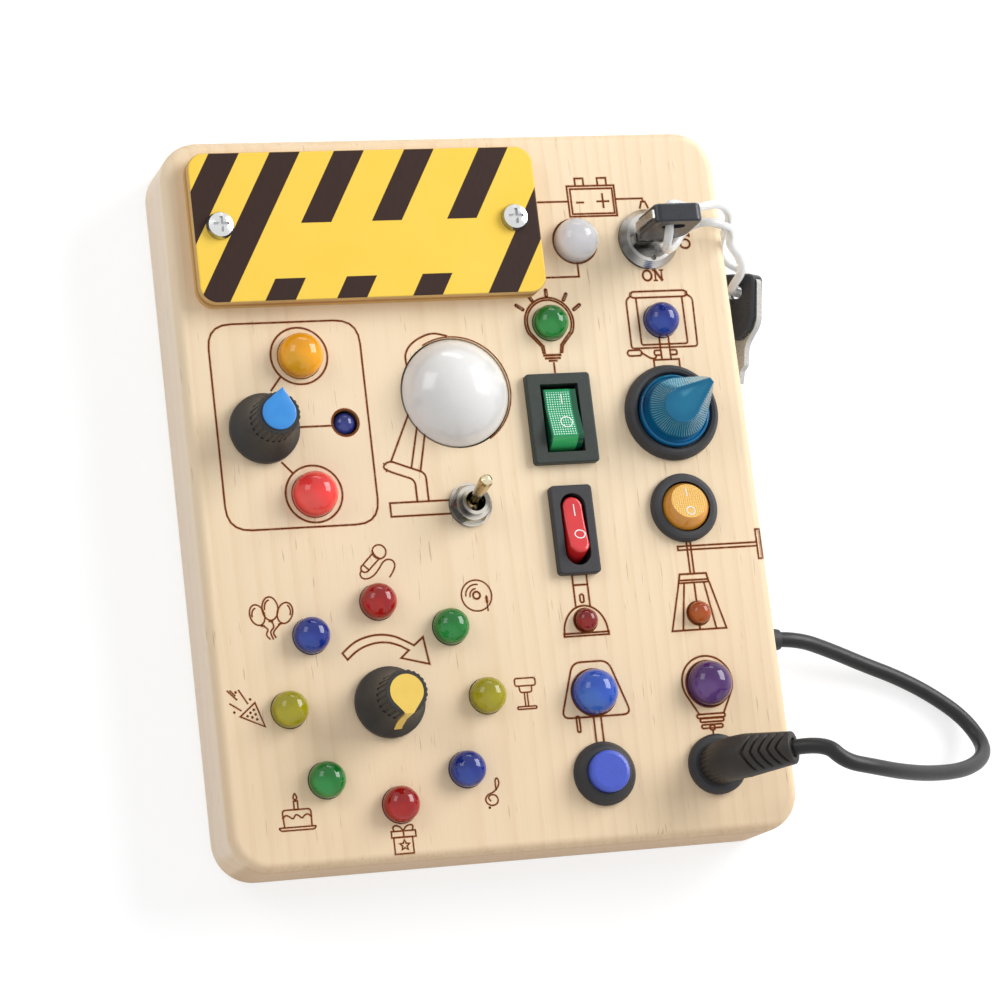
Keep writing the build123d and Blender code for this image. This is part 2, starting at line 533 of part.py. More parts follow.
def jack_socket():
    socket = turned(COLUMN_B, JACK_Y, [(0, 5.0), (4.0, 5.0), (4.0, FACE), (6.7, FACE), (6.7, FACE + 1.3),
                                       (6.2, FACE + 2.0), (5.6, FACE + 2.2), (0, FACE + 2.2)])
    return socket - disc(COLUMN_B, JACK_Y, 6.4, FACE + 3, 1.8)


def inner_nuts():
    """Nuts behind the wall for the lock, the selector and the push button, and the nut in front for each rotary switch."""
    return spread([
        hexagon(LOCK_X, LOCK_Y, INNER - 2.2, INNER, 15.0, 6.02),
        ring(COLUMN_B, SELECTOR_Y, INNER - 2.2, INNER, 9.6, 8.02),
        hexagon(COLUMN_B, JACK_Y, INNER - 2.2, INNER, 11.0, 4.02),
        hexagon(COLUMN_A, PUSH_Y, INNER - 2.2, INNER, 15.0, 6.02),
        hexagon(RING_X, RING_Y, FACE, FACE + 2.0, 10.0, 3.52),
        hexagon(DIAL_X, DIAL_Y, FACE, FACE + 2.0, 10.0, 3.52),
    ])


# ---------------------------------------------------------------- rotary switches and knobs
def rotary_switch(x, y):
    body = disc(x, y, 5.2, INNER, 8.3) + disc(x, y, INNER, FACE + 3.0, 3.5)
    body += Pos(x, y - 8.6, 6.6) * Box(7.0, 3.0, 1.2)
    return body - disc(x, y, 6.4, FACE + 4, 3.03)


def rotary_shaft(x, y, pointer):
    shaft = disc(0, 0, 6.8, FACE + 12.6, 3.0)
    shaft -= Pos(0, -3.9, FACE + 9.5) * Box(8, 3.0, 8)      # flat for the knob
    return Pos(x, y, 0) * Rot(0, 0, pointer) * shaft


KNOB_FOOT, KNOB_TOP = FACE + 0.4, FACE + 14.6


def knob_body(x, y, pointer):
    with BuildLine() as line:
        Line((0, KNOB_TOP), (0, KNOB_FOOT))
        Line((0, KNOB_FOOT), (7.8, KNOB_FOOT))
        Line((7.8, KNOB_FOOT), (7.75, KNOB_FOOT + 1.3))
        ThreePointArc((7.75, KNOB_FOOT + 1.3), (5.9, KNOB_FOOT + 4.6), (5.05, KNOB_FOOT + 8.6))
        Line((5.05, KNOB_FOOT + 8.6), (4.75, KNOB_TOP - 0.4))
        Line((4.75, KNOB_TOP - 0.4), (4.4, KNOB_TOP))
        Line((4.4, KNOB_TOP), (0, KNOB_TOP))
    body = revolve(make_face(Plane.XZ * line.line), Axis.Z)
    for k in range(24):                     # fine grip flutes round the upper half
        upper_wall = Rot(0, 0, 15 * k + 7.5) * Pos(5.15, 0, KNOB_FOOT + 8.4) * Rot(0, -3.3, 0)
        body -= upper_wall * Pos(0, 0, 3.6) * Cylinder(0.36, 7.4)
    body -= disc(0, 0, FACE, FACE + 3.4, 6.4)
    bore = disc(0, 0, FACE, FACE + 12.8, 3.02) - Pos(0, -3.92, FACE + 9.6) * Box(8, 3.0, 6.6)
    body -= bore + knob_insert_shape(0.02)
    return Pos(x, y, 0) * Rot(0, 0, pointer) * body


def knob_insert_shape(gap=0.0):
    """A drop-shaped inlay, point towards +X, whose tail runs over the rim and down the side to the skirt."""
    floor = KNOB_TOP - 1.2 - gap
    plan = Pos(0, 0, floor) * extrude(drop(3.7 + gap, 5.9, 4.8 + gap), KNOB_TOP + 0.1 - floor)
    foot = KNOB_FOOT + 3.6 - gap
    tail = make_face(Plane.XZ * Polyline(
        (3.7 - gap, KNOB_TOP + 0.1), (3.7 - gap, foot), (6.45, foot), (6.0, KNOB_FOOT + 4.6),
        (5.15, KNOB_FOOT + 8.6), (4.85, KNOB_TOP - 0.35), (4.5, KNOB_TOP + 0.1), close=True))
    return plan + extrude(tail, 0.85 + gap, both=True)


def knob_insert(x, y, pointer):
    return Pos(x, y, 0) * Rot(0, 0, pointer) * knob_insert_shape()


# ---------------------------------------------------------------- lead with its plug
def plug_axis():
    """Centre line of the plug's body: up out of the jack, then bent over towards +X."""
    bend = math.radians(PLUG_BEND)
    foot = (COLUMN_B, JACK_Y, PLUG_BASE)
    turn = (COLUMN_B, JACK_Y, PLUG_BASE + PLUG_STRAIGHT)
    start = (COLUMN_B + PLUG_BEND_R * (1 - math.cos(bend)), JACK_Y, turn[2] + PLUG_BEND_R * math.sin(bend))
    end = (start[0] + PLUG_BOOT * math.sin(bend), JACK_Y, start[2] + PLUG_BOOT * math.cos(bend))
    return foot, turn, start, end


def plug_body():
    foot, turn, start, end = plug_axis()
    bend = math.radians(PLUG_BEND)
    middle = (COLUMN_B + PLUG_BEND_R * (1 - math.cos(bend / 2)), JACK_Y, turn[2] + PLUG_BEND_R * math.sin(bend / 2))
    body = disc(COLUMN_B, JACK_Y, PLUG_BASE, PLUG_BASE + PLUG_STRAIGHT, 4.8)
    elbow = ThreePointArc(turn, middle, start)
    body += sweep(Plane(origin=turn, z_dir=(0, 0, 1)) * Circle(4.8), path=elbow)
    profile = [(0, 0), (4.8, 0), (4.75, 1.2)]
    for k in range(5):                      # five grooves of the strain relief
        at = 1.6 + 1.6 * k
        r = 4.75 - 0.16 * at
        profile += [(r, at), (r - 0.9, at + 0.1), (r - 0.9, at + 0.6), (r - 0.05, at + 0.75)]
    profile += [(3.5, PLUG_BOOT - 0.6), (3.1, PLUG_BOOT), (0, PLUG_BOOT)]
    boot = revolve(make_face(Plane.XZ * Polyline(*profile, close=True)), Axis.Z)
    return body + Pos(*start) * Rot(0, PLUG_BEND, 0) * boot


def plug_pin():
    return turned(COLUMN_B, JACK_Y, [(0, 8.2), (0.9, 8.2), (1.55, 9.6), (1.1, 10.6), (1.75, 11.4),
                                     (1.75, PLUG_BASE), (0, PLUG_BASE)])


def cord_gland():
    gland = turned(0, 0, [(0, -9.6), (2.7, -9.6), (2.7, 0), (4.0, 0), (4.0, 0.9), (2.9, 1.2), (2.3, 4.0), (0, 4.0)])
    return Pos(65, CORD_Y_IN, CORD_Z_IN) * Rot(0, 90, 0) * gland


def cord_route():
    """The lead's centre line with a straight run into the end of the plug's boot."""
    bend = math.radians(PLUG_BEND)
    boot_end = Vector(*plug_axis()[3])
    lead_out = boot_end + Vector(math.sin(bend), 0, math.cos(bend)) * 7.0
    return CORD_ROUTE + [tuple(lead_out), tuple(boot_end)]


# ---------------------------------------------------------------- table light
def table_light_dome():
    """A shallow opal dome, under two millimetres thick, on a short skirt that sits in its hole."""
    outer = (LIGHT_R ** 2 + LIGHT_RISE ** 2) / (2 * LIGHT_RISE)
    inner, bore = outer - 1.8, LIGHT_R - 1.6
    centre = FACE + LIGHT_RISE - outer
    with BuildLine() as line:
        RadiusArc((LIGHT_R, FACE), (0, centre + outer), -outer)
        Line((0, centre + outer), (0, centre + inner))
        RadiusArc((0, centre + inner), (bore, centre + math.sqrt(inner ** 2 - bore ** 2)), inner)
        Line((bore, centre + math.sqrt(inner ** 2 - bore ** 2)), (bore, INNER))
        Line((bore, INNER), (LIGHT_R, INNER))
        Line((LIGHT_R, INNER), (LIGHT_R, FACE))
    return Pos(LIGHT_X, LIGHT_Y, 0) * revolve(make_face(Plane.XZ * line.line), Axis.Z)


def table_light_board():
    base = disc(LIGHT_X, LIGHT_Y, INNER - 1.6, INNER, LIGHT_R + 2.0)
    return base + slab(LIGHT_X, LIGHT_Y, INNER - 0.2, INNER + 0.9, 5.0, 5.0, 0.6)


# ---------------------------------------------------------------- the whole model
def main():
    nodes = {
        "board_body": board_body(),
        "back_cover": back_cover(),
        "back_screws": spread([countersunk_screw(x, y, 0.05, 9.0) for x, y in COVER_SCREWS + [DOOR_SCREW]]),
        "sign_plate": sign_plate(),
        "sign_screws": spread([pan_screw(x, y, FACE + SIGN_T, 3.1, 1.9, 7.6) for x, y in SIGN_SCREWS]),
        "battery_box": battery_box(),
        "battery_cells": battery_cells(),
        "battery_contacts": battery_contacts(),
        "battery_door": battery_door(),
        "circuit_board": circuit_board(),
        "table_light_dome": table_light_dome(),
        "table_light_board": table_light_board(),
        "lock_body": lock_body(),
        "lock_rotor": lock_rotor(),
        "key_blade": KEY_IN_LOCK * key_blade_shape(),
        "key_head": KEY_IN_LOCK * key_head_shape(),
        "spare_key_blade": SPARE_KEY * key_blade_shape(),
        "spare_key_head": SPARE_KEY * key_head_shape(),
        "key_tether": tube("tether", TETHER_ROUTE, TETHER_R),
        "toggle_housing": toggle_housing(),
        "toggle_nut_and_washer": toggle_hardware(),
        "toggle_lever": toggle_lever(),
        "green_rocker_housing": green_housing(),
        "green_rocker": green_rocker(),
        "red_rocker_housing": red_housing(),
        "red_rocker": red_rocker(),
        "amber_rocker_housing": amber_housing(),
        "amber_rocker": amber_rocker(),
        "selector_bezel": selector_bezel(),
        "selector_knob": selector_knob(),
        "push_button_bezel": push_bezel(),
        "push_button_cap": push_cap(),
        "push_button_spring": push_spring(),
        "jack_socket": jack_socket(),
        "panel_nuts": inner_nuts(),
        "plug_body": plug_body(),
        "plug_pin": plug_pin(),
        "cord_gland": cord_gland(),
        "plug_cord": tube("cord", cord_route(), CORD_R),
    }
    for name, x, y, pointer in (("yellow", RING_X, RING_Y, YELLOW_POINTER), ("blue", DIAL_X, DIAL_Y, BLUE_POINTER)):
        nodes[name + "_knob"] = knob_body(x, y, pointer)
        nodes[name + "_knob_inlay"] = knob_insert(x, y, pointer)
        nodes[name + "_rotary_shaft"] = rotary_shaft(x, y, pointer)
        nodes[name + "_rotary_switch"] = rotary_switch(x, y)
    for name, places in LAMPS.items():
        nodes[name] = spread([lamp(*place) for place in places]) if len(places) > 1 else lamp(*places[0])
    held = [place for places in LAMPS.values() for place in places if place not in ON_CIRCUIT_BOARD]
    nodes["lamp_holders"] = spread([lamp_holder(*place) for place in held])

    os.makedirs("parts", exist_ok=True)
    for name, shape in nodes.items():
        export_step(shape, f"parts/{name}.step")
    print(len(nodes), "nodes")


main()
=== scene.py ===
import math

import bpy
import numpy as np
from mathutils import Matrix


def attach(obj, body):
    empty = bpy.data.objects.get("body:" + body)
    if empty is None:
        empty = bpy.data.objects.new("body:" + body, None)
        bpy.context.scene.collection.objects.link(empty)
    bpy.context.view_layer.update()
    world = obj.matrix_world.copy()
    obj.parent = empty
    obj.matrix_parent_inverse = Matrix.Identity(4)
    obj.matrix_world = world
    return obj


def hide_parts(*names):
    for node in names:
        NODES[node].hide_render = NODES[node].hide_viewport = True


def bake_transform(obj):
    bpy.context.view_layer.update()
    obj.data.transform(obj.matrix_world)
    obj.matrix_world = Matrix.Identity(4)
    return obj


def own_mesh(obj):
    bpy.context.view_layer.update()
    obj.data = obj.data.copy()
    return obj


# The looks of a wooden busy board. It lies on its back: +Z comes out of its face, +Y is its top.
# Lengths are in millimetres up to the point where they go into Blender, which takes metres.

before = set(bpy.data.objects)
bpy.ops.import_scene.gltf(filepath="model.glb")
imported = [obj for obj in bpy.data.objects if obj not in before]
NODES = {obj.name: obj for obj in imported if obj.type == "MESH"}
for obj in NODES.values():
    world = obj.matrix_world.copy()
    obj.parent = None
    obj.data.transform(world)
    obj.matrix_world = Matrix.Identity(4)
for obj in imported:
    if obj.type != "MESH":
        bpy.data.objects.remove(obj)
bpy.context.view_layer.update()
MM = 0.001
FACE = 18.0                         # height of the wooden face
INNER = 14.0                        # inner side of the front wall
PRINT_LIFT = 0.02                   # engraved lines lie this far over the face
COLUMN_A, COLUMN_B = 20.1, 46.5     # the two columns of switches
WHITE = (1, 1, 1, 1)


def tint(red, green, blue):
    """A colour in 0 to 255 steps of a colour chart, as Blender's linear one."""
    chart = np.array([red, green, blue]) / 255
    linear = np.where(chart <= 0.04045, chart / 12.92, ((chart + 0.055) / 1.055) ** 2.4)
    return (*(float(part) for part in linear), 1.0)


def add(name, data):
    """A new object at the origin."""
    made = bpy.data.objects.new(name, data)
    bpy.context.scene.collection.objects.link(made)
    return made


# ---- materials
class Field:
    """A value that varies over a surface. Operators on it add Math nodes."""

    def __init__(self, graph, socket):
        self.graph, self.socket = graph, socket

    def math(self, operation, first, second=None):
        return self.graph.node("ShaderNodeMath", {"operation": operation}, {0: first, 1: second})

    def __add__(self, other): return self.math("ADD", self, other)
    def __radd__(self, other): return self.math("ADD", other, self)
    def __sub__(self, other): return self.math("SUBTRACT", self, other)
    def __rsub__(self, other): return self.math("SUBTRACT", other, self)
    def __mul__(self, other): return self.math("MULTIPLY", self, other)
    def __rmul__(self, other): return self.math("MULTIPLY", other, self)
    def __truediv__(self, other): return self.math("DIVIDE", self, other)
    def __pow__(self, other): return self.math("POWER", self, other)
    def sine(self): return self.math("SINE", self)
    def part(self): return self.math("FRACT", self)
    def size(self): return self.math("ABSOLUTE", self)
    def root(self): return self.math("SQRT", self)
    def most(self, other): return self.math("MAXIMUM", self, other)
    def least(self, other): return self.math("MINIMUM", self, other)

    def over(self, edge, soft=0.05):
        """0 below the edge and 1 over it, with a smooth step of the given softness."""
        return self.graph.node(
            "ShaderNodeMapRange", {"interpolation_type": "SMOOTHSTEP"},
            {"Value": self, "From Min": edge - soft, "From Max": edge + soft})

    def within(self, low, high, soft=0.05):
        return self.over(low, soft) - self.over(high, soft)


class Graph:
    """The nodes of a material or of the world."""

    def __init__(self, owner):
        owner.use_nodes = True
        self.tree = owner.node_tree
        self.tree.nodes.clear()

    def node(self, kind, settings=None, inputs=None, output=0):
        """Adds a node and gives one of its outputs. A ramp's stops are a setting: (place, colour) pairs."""
        new = self.tree.nodes.new(kind)
        for key, value in (settings or {}).items():
            if key == "stops":
                for stop, (at, colour) in zip(new.color_ramp.elements, value):
                    stop.position, stop.color = at, colour
            else:
                setattr(new, key, value)
        for key, value in (inputs or {}).items():
            if isinstance(value, Field):
                self.tree.links.new(value.socket, new.inputs[key])
            elif value is not None:
                new.inputs[key].default_value = value
        return Field(self, new.outputs[output]) if new.outputs else None

    def mix(self, factor, first, second):
        """From the first colour to the second as the factor goes from 0 to 1."""
        return self.node("ShaderNodeMix", {"data_type": "RGBA"}, {0: factor, 6: first, 7: second}, 2)

    def coats(self, colour, *coats):
        """Tones laid over a colour, one after another, as (share, (red, green, blue)) pairs."""
        for share, tone in coats:
            colour = self.mix(share, colour, tint(*tone))
        return colour

    def white_rays(self):
        """1 for the rays that have to meet white: the camera's, those off a gloss and those through glass."""
        camera, glossy, through = (self.node("ShaderNodeLightPath", output=ray) for ray in
                                   ("Is Camera Ray", "Is Glossy Ray", "Is Transmission Ray"))
        return camera.most(glossy).most(through)


class Finish(Graph):
    """A material with one Principled shader, whose patterns are expressions on Fields.
    x, y and z are the place in millimetres."""

    def __init__(self, name, **fixed):
        self.material = bpy.data.materials.new(name)
        super().__init__(self.material)
        self.shader = self.tree.nodes.new("ShaderNodeBsdfPrincipled")
        self.surface = Field(self, self.shader.outputs[0])
        self.output = self.tree.nodes.new("ShaderNodeOutputMaterial")
        self.tree.links.new(self.surface.socket, self.output.inputs[0])
        for socket, value in fixed.items():
            self.shader.inputs[socket.replace("_", " ")].default_value = value
        self.place = self.node("ShaderNodeTexCoord", output="Object")
        axes = [self.node("ShaderNodeSeparateXYZ", {}, {0: self.place}, k) for k in range(3)]
        self.x, self.y, self.z = (axis * 1000 for axis in axes)

    def noise(self, grain, stretch=(1, 1, 1), detail=3.0, rough=0.5):
        """Soft noise whose blotches are about grain millimetres, longer where stretch is over 1."""
        squeeze = tuple(1 / part for part in stretch)
        place = self.node("ShaderNodeVectorMath", {"operation": "MULTIPLY"}, {0: self.place, 1: squeeze})
        return self.node("ShaderNodeTexNoise", {}, {
            "Vector": place, "Scale": 1000 / grain, "Detail": detail, "Roughness": rough})

    def uv(self, axis):
        place = self.node("ShaderNodeUVMap", {"uv_map": "UVMap"})
        return self.node("ShaderNodeSeparateXYZ", {}, {0: place}, axis)

    def upright(self):
        """1 where the surface faces straight up or down, 0 where it is a side wall."""
        normal = self.node("ShaderNodeNewGeometry", output="Normal")
        return self.node("ShaderNodeSeparateXYZ", {}, {0: normal}, 2).size()

    def facing(self, x, y, z):
        """1 where the surface faces the given direction, 0 at a right angle to it."""
        size = math.sqrt(x * x + y * y + z * z)
        normal = self.node("ShaderNodeNewGeometry", output="Normal")
        return self.node("ShaderNodeVectorMath", {"operation": "DOT_PRODUCT"},
                         {0: normal, 1: (x / size, y / size, z / size)}, 1)

    def paint(self, **fields):
        """Joins Fields to the shader's sockets."""
        for socket, field in fields.items():
            self.tree.links.new(field.socket, self.shader.inputs[socket.replace("_", " ")])
        return self

    def emboss(self, height, depth):
        """Bump from a height Field in 0 to 1 steps; depth is in millimetres."""
        bump = self.node("ShaderNodeBump", {}, {"Strength": 1.0, "Distance": depth * MM, "Height": height})
        return self.paint(Normal=bump)


PLANK_JOINTS = (-37.0, 2.4, 43.0)   # where the glued planks meet
RING_WIDTH = 3.1
LIGHT_AT, LIGHT_R = (-3.5, 21.5), 13.0


def wood_pattern(f):
    """Edge-glued pine: growth rings about far axes, one axis a plank, fine fibres and short dark pores."""
    plank = sum(f.x.over(joint, 0.06) for joint in PLANK_JOINTS)
    swing = (plank * 2.4 + 0.7).sine()
    warp = f.noise(46.0, (1, 5, 1), 2.0) * 13.0 + f.noise(7.0, (1, 18, 1), 2.0) * 0.9
    across = f.x - swing * 30.0 + plank * 21.0 + warp
    down = f.z + swing * 9.0 + 31.0
    rings = (across * across + down * down).root() / RING_WIDTH
    late = (rings.part() ** 3.0) * (1 - rings.part()).over(0.12, 0.1)
    fibres = f.noise(0.55, (1, 40, 1), 3.0, 0.65)
    pores = f.noise(0.6, (1, 14, 1), 1.0).over(0.71, 0.04) * f.noise(9.0, (1, 2, 1), 1.0).over(0.52, 0.08)
    ground = f.coats(
        tint(247, 227, 197),
        (f.noise(32.0, (1, 1.6, 1), 3.0) * 0.5, (238, 212, 170)),       # clouds
        ((1 - f.y.over(-30.0, 52.0)) * 0.30, (231, 196, 156)),          # towards the lower edge
        ((swing + 1) * 0.06, (228, 192, 148)),
        (late * 0.34, (214, 174, 124)),
        ((fibres - 0.5).size() * 0.42, (206, 170, 124)),
        (pores * 0.42, (150, 108, 70)))
    return ground, fibres * 0.6 + late * 0.3 - pores * 0.8


def pine_finish():
    """Pine, paler on the side walls, with painted shade on the lower one, rough on the end grain and sooty in the
    holes.
    """
    f = Finish("pine", Roughness=0.52, Specular_IOR_Level=0.35)
    ground, height = wood_pattern(f)
    wall = 1 - f.upright().over(0.35, 0.15)
    inside = (1 - f.x.size().over(57.5, 0.3)) * (1 - f.y.size().over(75.5, 0.3)) * wall
    x, y = f.x - LIGHT_AT[0], f.y - LIGHT_AT[1]
    inside = inside * (x * x + y * y).over(LIGHT_R ** 2 + 1, 4.0)
    ground = f.coats(
        ground,
        (wall * f.x.size().over(64.0, 0.5) * 0.4, (252, 240, 228)),
        # painted shade: the lower side wall is darkened as if it were turned away from the light
        (wall * (f.y * -1).over(79.0, 0.5) * 0.5, (190, 152, 104)),
        ((1 - f.z.over(17.0, 1.0)) * 0.06, (196, 168, 138)),
        (f.y.size().over(79.6, 0.8) * f.noise(0.8) * 0.5, (190, 148, 104)),
        (inside * 0.88, (62, 36, 24)))
    f.paint(Base_Color=ground, Roughness=f.noise(1.2, (1, 20, 1)) * 0.18 + 0.44)
    return f.emboss(height, 0.03)


def burn_finish():
    """Laser-burnt line. The UV's second axis runs across it from 0 to 1, the burnt core in its middle."""
    f = Finish("burnt_line", Roughness=0.75, Specular_IOR_Level=0.1)
    off = (f.uv(1) - 0.5).size() * 2
    ragged = (f.noise(0.5, detail=2.0) - 0.5) * 0.22
    core = 1 - (off + ragged).over(0.50, 0.16)
    halo = (1 - off.over(0.66, 0.34)) * (f.noise(2.6, detail=2.0) * 0.95)
    fade = f.noise(1.6, detail=2.0).over(0.42, 0.3) * 0.28 + 0.68
    colour = f.mix(core, tint(224, 134, 58), tint(108, 50, 18))
    return f.paint(Base_Color=colour, Alpha=(core * fade).most(halo * 0.7))


SIGN_TOP = 22.5
STRIPES = (-73.6, -59.8, -45.1, -28.9, -11.5, 6.0)  # left ends along the sign's lower edge
STRIPE_W, STRIPE_LEAN = 6.9, 0.57
BARE_X, BARE_Y = (-45.0, 4.6), (47.8, 60.3)         # the field without stripes
PLY = 1.5                                           # thickness of one layer


def sign_finish():
    """Plywood with a painted face: yellow with dark slanting stripes that leave a bare field in the middle."""
    f = Finish("sign_paint", Specular_IOR_Level=0.2)
    top = f.upright().over(0.8, 0.1) * f.z.over(SIGN_TOP - 0.3, 0.1)
    along = f.x - (f.y - 43.8) * STRIPE_LEAN
    dark = sum(along.within(left, left + STRIPE_W) for left in STRIPES)
    slant = f.x - (f.y - BARE_Y[0]) * 0.22
    dark = dark * (1 - slant.within(*BARE_X) * f.y.within(*BARE_Y))
    yellow = f.mix(f.noise(11.0, detail=2.0), tint(249, 206, 72), tint(251, 213, 92))
    ink = f.mix(f.noise(0.35, (1, 6, 1)), tint(44, 27, 22), tint(58, 38, 31))
    layer = f.coats(
        tint(222, 186, 122),
        ((f.z / (2 * PLY)).part().over(0.5, 0.04), (186, 140, 84)),
        (f.noise(0.7, (5, 1, 1)) * 0.35, (140, 92, 50)),
        ((f.z / PLY).part().over(0.93, 0.03) * 0.4, (120, 76, 40)))
    f.paint(Base_Color=f.mix(top, layer, f.mix(dark, yellow, ink)),
            Roughness=0.62 - top * 0.22 + f.noise(2.0) * 0.08)
    return f.emboss(f.noise(0.6, (1, 14, 1)), 0.012)


def metal_finish(name, light, dark, rough, axis=None):
    """Plated metal: walls with painted reflections in darker bands, smudges and tiny pits. Round an axis it has
    turning marks and a painted sheen of turned metal on its flats, which swings with the double angle from light
    to dark and back."""
    f = Finish(name, Metallic=1.0)
    wall = 1 - f.upright().over(0.62, 0.34)
    # painted reflections: light and dark bands on the walls, set by which way each wall faces
    reflection_band = ((f.facing(1, 0.3, 0) * 6).sine() + 1) * 0.5
    # shade holds the painted reflections together with real smudges
    shade = wall * (reflection_band * 0.6 + 0.35) + f.noise(3.0, detail=4.0) * 0.2
    pits = f.noise(0.3)
    if axis:
        x, y = f.x - axis[0], f.y - axis[1]
        away = (x * x + y * y).most(0.01)
        # painted sheen: a reflection on the flats that swings with the angle round the axis
        sheen = (x * x - y * y + x * y) / away
        shade = shade + (1 - wall) * sheen.over(0.1, 0.7) * 0.6
        pits = (away.root() * 21.0).sine() * 0.5 + pits
    f.paint(Base_Color=f.mix(shade.least(1.0), light, dark), Roughness=f.noise(1.1, detail=3.0) * 0.12 + rough)
    return f.emboss(pits, 0.007)


def plastic_finish(name, light, dark, rough=0.42, texture=0.5, depth=0.02, **fixed):
    """Moulded plastic with a fine spark-eroded skin and a little wear in its tone."""
    f = Finish(name, **fixed)
    skin = f.noise(texture, detail=2.0)
    f.paint(Base_Color=f.mix(f.noise(2.5, detail=4.0), light, dark), Roughness=skin * 0.16 + rough - 0.08)
    return f.emboss(skin, depth)


def darker(colour, share):
    return (*(share * part for part in colour[:3]), 1.0)


def lens_finish(name, deep, light, clear):
    """Tinted clear plastic with painted shade round the rim and in the upper part, and a painted glow of light low
    in the dome.
    """
    f = Finish(name, Specular_IOR_Level=0.12, Transmission_Weight=clear, Coat_Weight=0.6, Coat_Roughness=0.02)
    up = f.uv(1)
    # painted light: a glow low in the dome, on the side away from the lamp
    glow = f.facing(-0.55, -0.62, 0.56).over(0.78, 0.2) * up.over(0.36, 0.1)
    # painted shade: the upper part of the dome is darkened by which way it faces
    shade = f.facing(0.2, 0.62, 0.76).over(0.8, 0.22)
    colour = f.mix(f.noise(3.0, detail=2.0) * 0.25, deep, light)
    colour = f.mix(shade * 0.45, colour, darker(deep, 0.45))
    colour = f.mix(glow * 0.85, colour, light)
    # painted shade round the rim at the dome's foot
    colour = f.mix((1 - up.over(0.34, 0.12)) * 0.5, colour, darker(deep, 0.3))
    return f.paint(Base_Color=colour, Roughness=f.noise(1.5) * 0.05 + 0.03)


# ---- mesh building
def grid_faces(rows, columns, wrap):
    """Quads between neighbouring points of a rows by columns grid; wrap joins the last column to the first."""
    i, j = np.meshgrid(np.arange(rows - 1), np.arange(columns - (not wrap)), indexing="ij")
    i, j = i.ravel(), j.ravel()
    k = (j + 1) % columns
    return np.stack([i * columns + j, i * columns + k, (i + 1) * columns + k, (i + 1) * columns + j], 1)


def lathe(profile, turns=64, axis=(0.0, 0.0)):
    """Surface of revolution about an upright axis: (radius, height) rows times angles."""
    radius, height = np.array(profile, float).T[:, :, None]
    angle = np.linspace(0, 2 * math.pi, turns, endpoint=False)
    return np.stack([axis[0] + radius * np.cos(angle), axis[1] + radius * np.sin(angle), height + angle * 0], 2)


def piece(name, parts, finish, body, replaces=(), smooth=40):
    """One object from (grid, closed) parts. A closed part wraps round, and polygons close its first and last
    rows. The UV runs from 0 to 1 along the rows and from row to row. The piece rides on a body, takes a
    material slot, stands for CAD nodes and shades softly up to an angle in degrees."""
    points, faces, uvs, start = [], [], [], 0
    for grid, closed in parts:
        rows, columns = grid.shape[:2]
        quads = grid_faces(rows, columns, closed)
        points.append(grid.reshape(-1, 3))
        faces += (quads + start).tolist()
        edge = columns - (not closed)
        i, j = np.divmod(np.arange(len(quads)), edge)
        corners = [np.stack([j + right, i + down], 1) for right, down in ((0, 0), (1, 0), (1, 1), (0, 1))]
        uvs.append((np.stack(corners, 1) / [edge, rows - 1]).reshape(-1, 2))
        if closed:
            first, last = np.arange(columns)[::-1] + start, np.arange(columns) + start + (rows - 1) * columns
            faces += [first.tolist(), last.tolist()]
            turn = np.linspace(0, 1, columns)
            uvs += [np.stack([turn[::-1], turn * 0], 1), np.stack([turn, turn * 0 + 1], 1)]
        start += rows * columns
    mesh = bpy.data.meshes.new(name)
    mesh.from_pydata((np.concatenate(points) * MM).tolist(), [], faces)
    mesh.uv_layers.new(name="UVMap").data.foreach_set("uv", np.concatenate(uvs).ravel())
    mesh.update()
    mesh.materials.append(finish.material)
    mesh.shade_smooth()
    mesh.set_sharp_from_angle(angle=math.radians(smooth))
    made = add(name, mesh)
    if replaces:
        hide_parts(*(NODES[node].name for node in replaces))
    if body:
        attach(made, body)
    return made


def dress(finish, *nodes):
    """A CAD node keeps its shape and takes the finish."""
    for node in nodes:
        data = NODES[node].data
        if len(data.materials):
            data.materials[0] = finish.material
        else:
            data.materials.append(finish.material)


# ---- plane curves for the engraving
def line(*numbers):
    """Points of a polyline from x, y, x, y and so on."""
    return np.array(numbers, float).reshape(-1, 2)


def join(*paths):
    return np.concatenate(paths)


def arc(x, y, r, start=0, end=360, ry=None, step=6):
    """Circle or ellipse arc from one angle to another, in degrees."""
    angle = np.radians(np.linspace(start, end, max(3, int(abs(end - start) / step) + 1)))
    return np.stack([x + r * np.cos(angle), y + (ry or r) * np.sin(angle)], 1)


def spin(points, turn):
    """Plane points, or the x and y of a grid, turned about the origin by some degrees."""
    a = math.radians(turn)
    turned = np.array(points, float)
    turned[..., :2] = turned[..., :2] @ np.array([[math.cos(a), math.sin(a)], [-math.sin(a), math.cos(a)]])
    return turned


def oval(x, y, rx, ry, turn):
    """Closed ellipse turned by some degrees."""
    return spin(arc(0, 0, rx, ry=ry, step=8), turn) + (x, y)


def curve(*numbers):
    """Catmull-Rom curve through points: each span a cubic whose ends take their neighbours' slope."""
    p = line(*numbers[:2], *numbers, *numbers[-2:])
    t = np.linspace(0, 1, 6, endpoint=False)[None, :, None]
    a, b, c, d = (p[k:len(p) - 3 + k, None] for k in range(4))
    spans = 0.5 * (2 * b + (c - a) * t + (2 * a - 5 * b + 4 * c - d) * t ** 2 + (3 * b - a - 3 * c + d) * t ** 3)
    return join(spans.reshape(-1, 2), p[-2:-1])


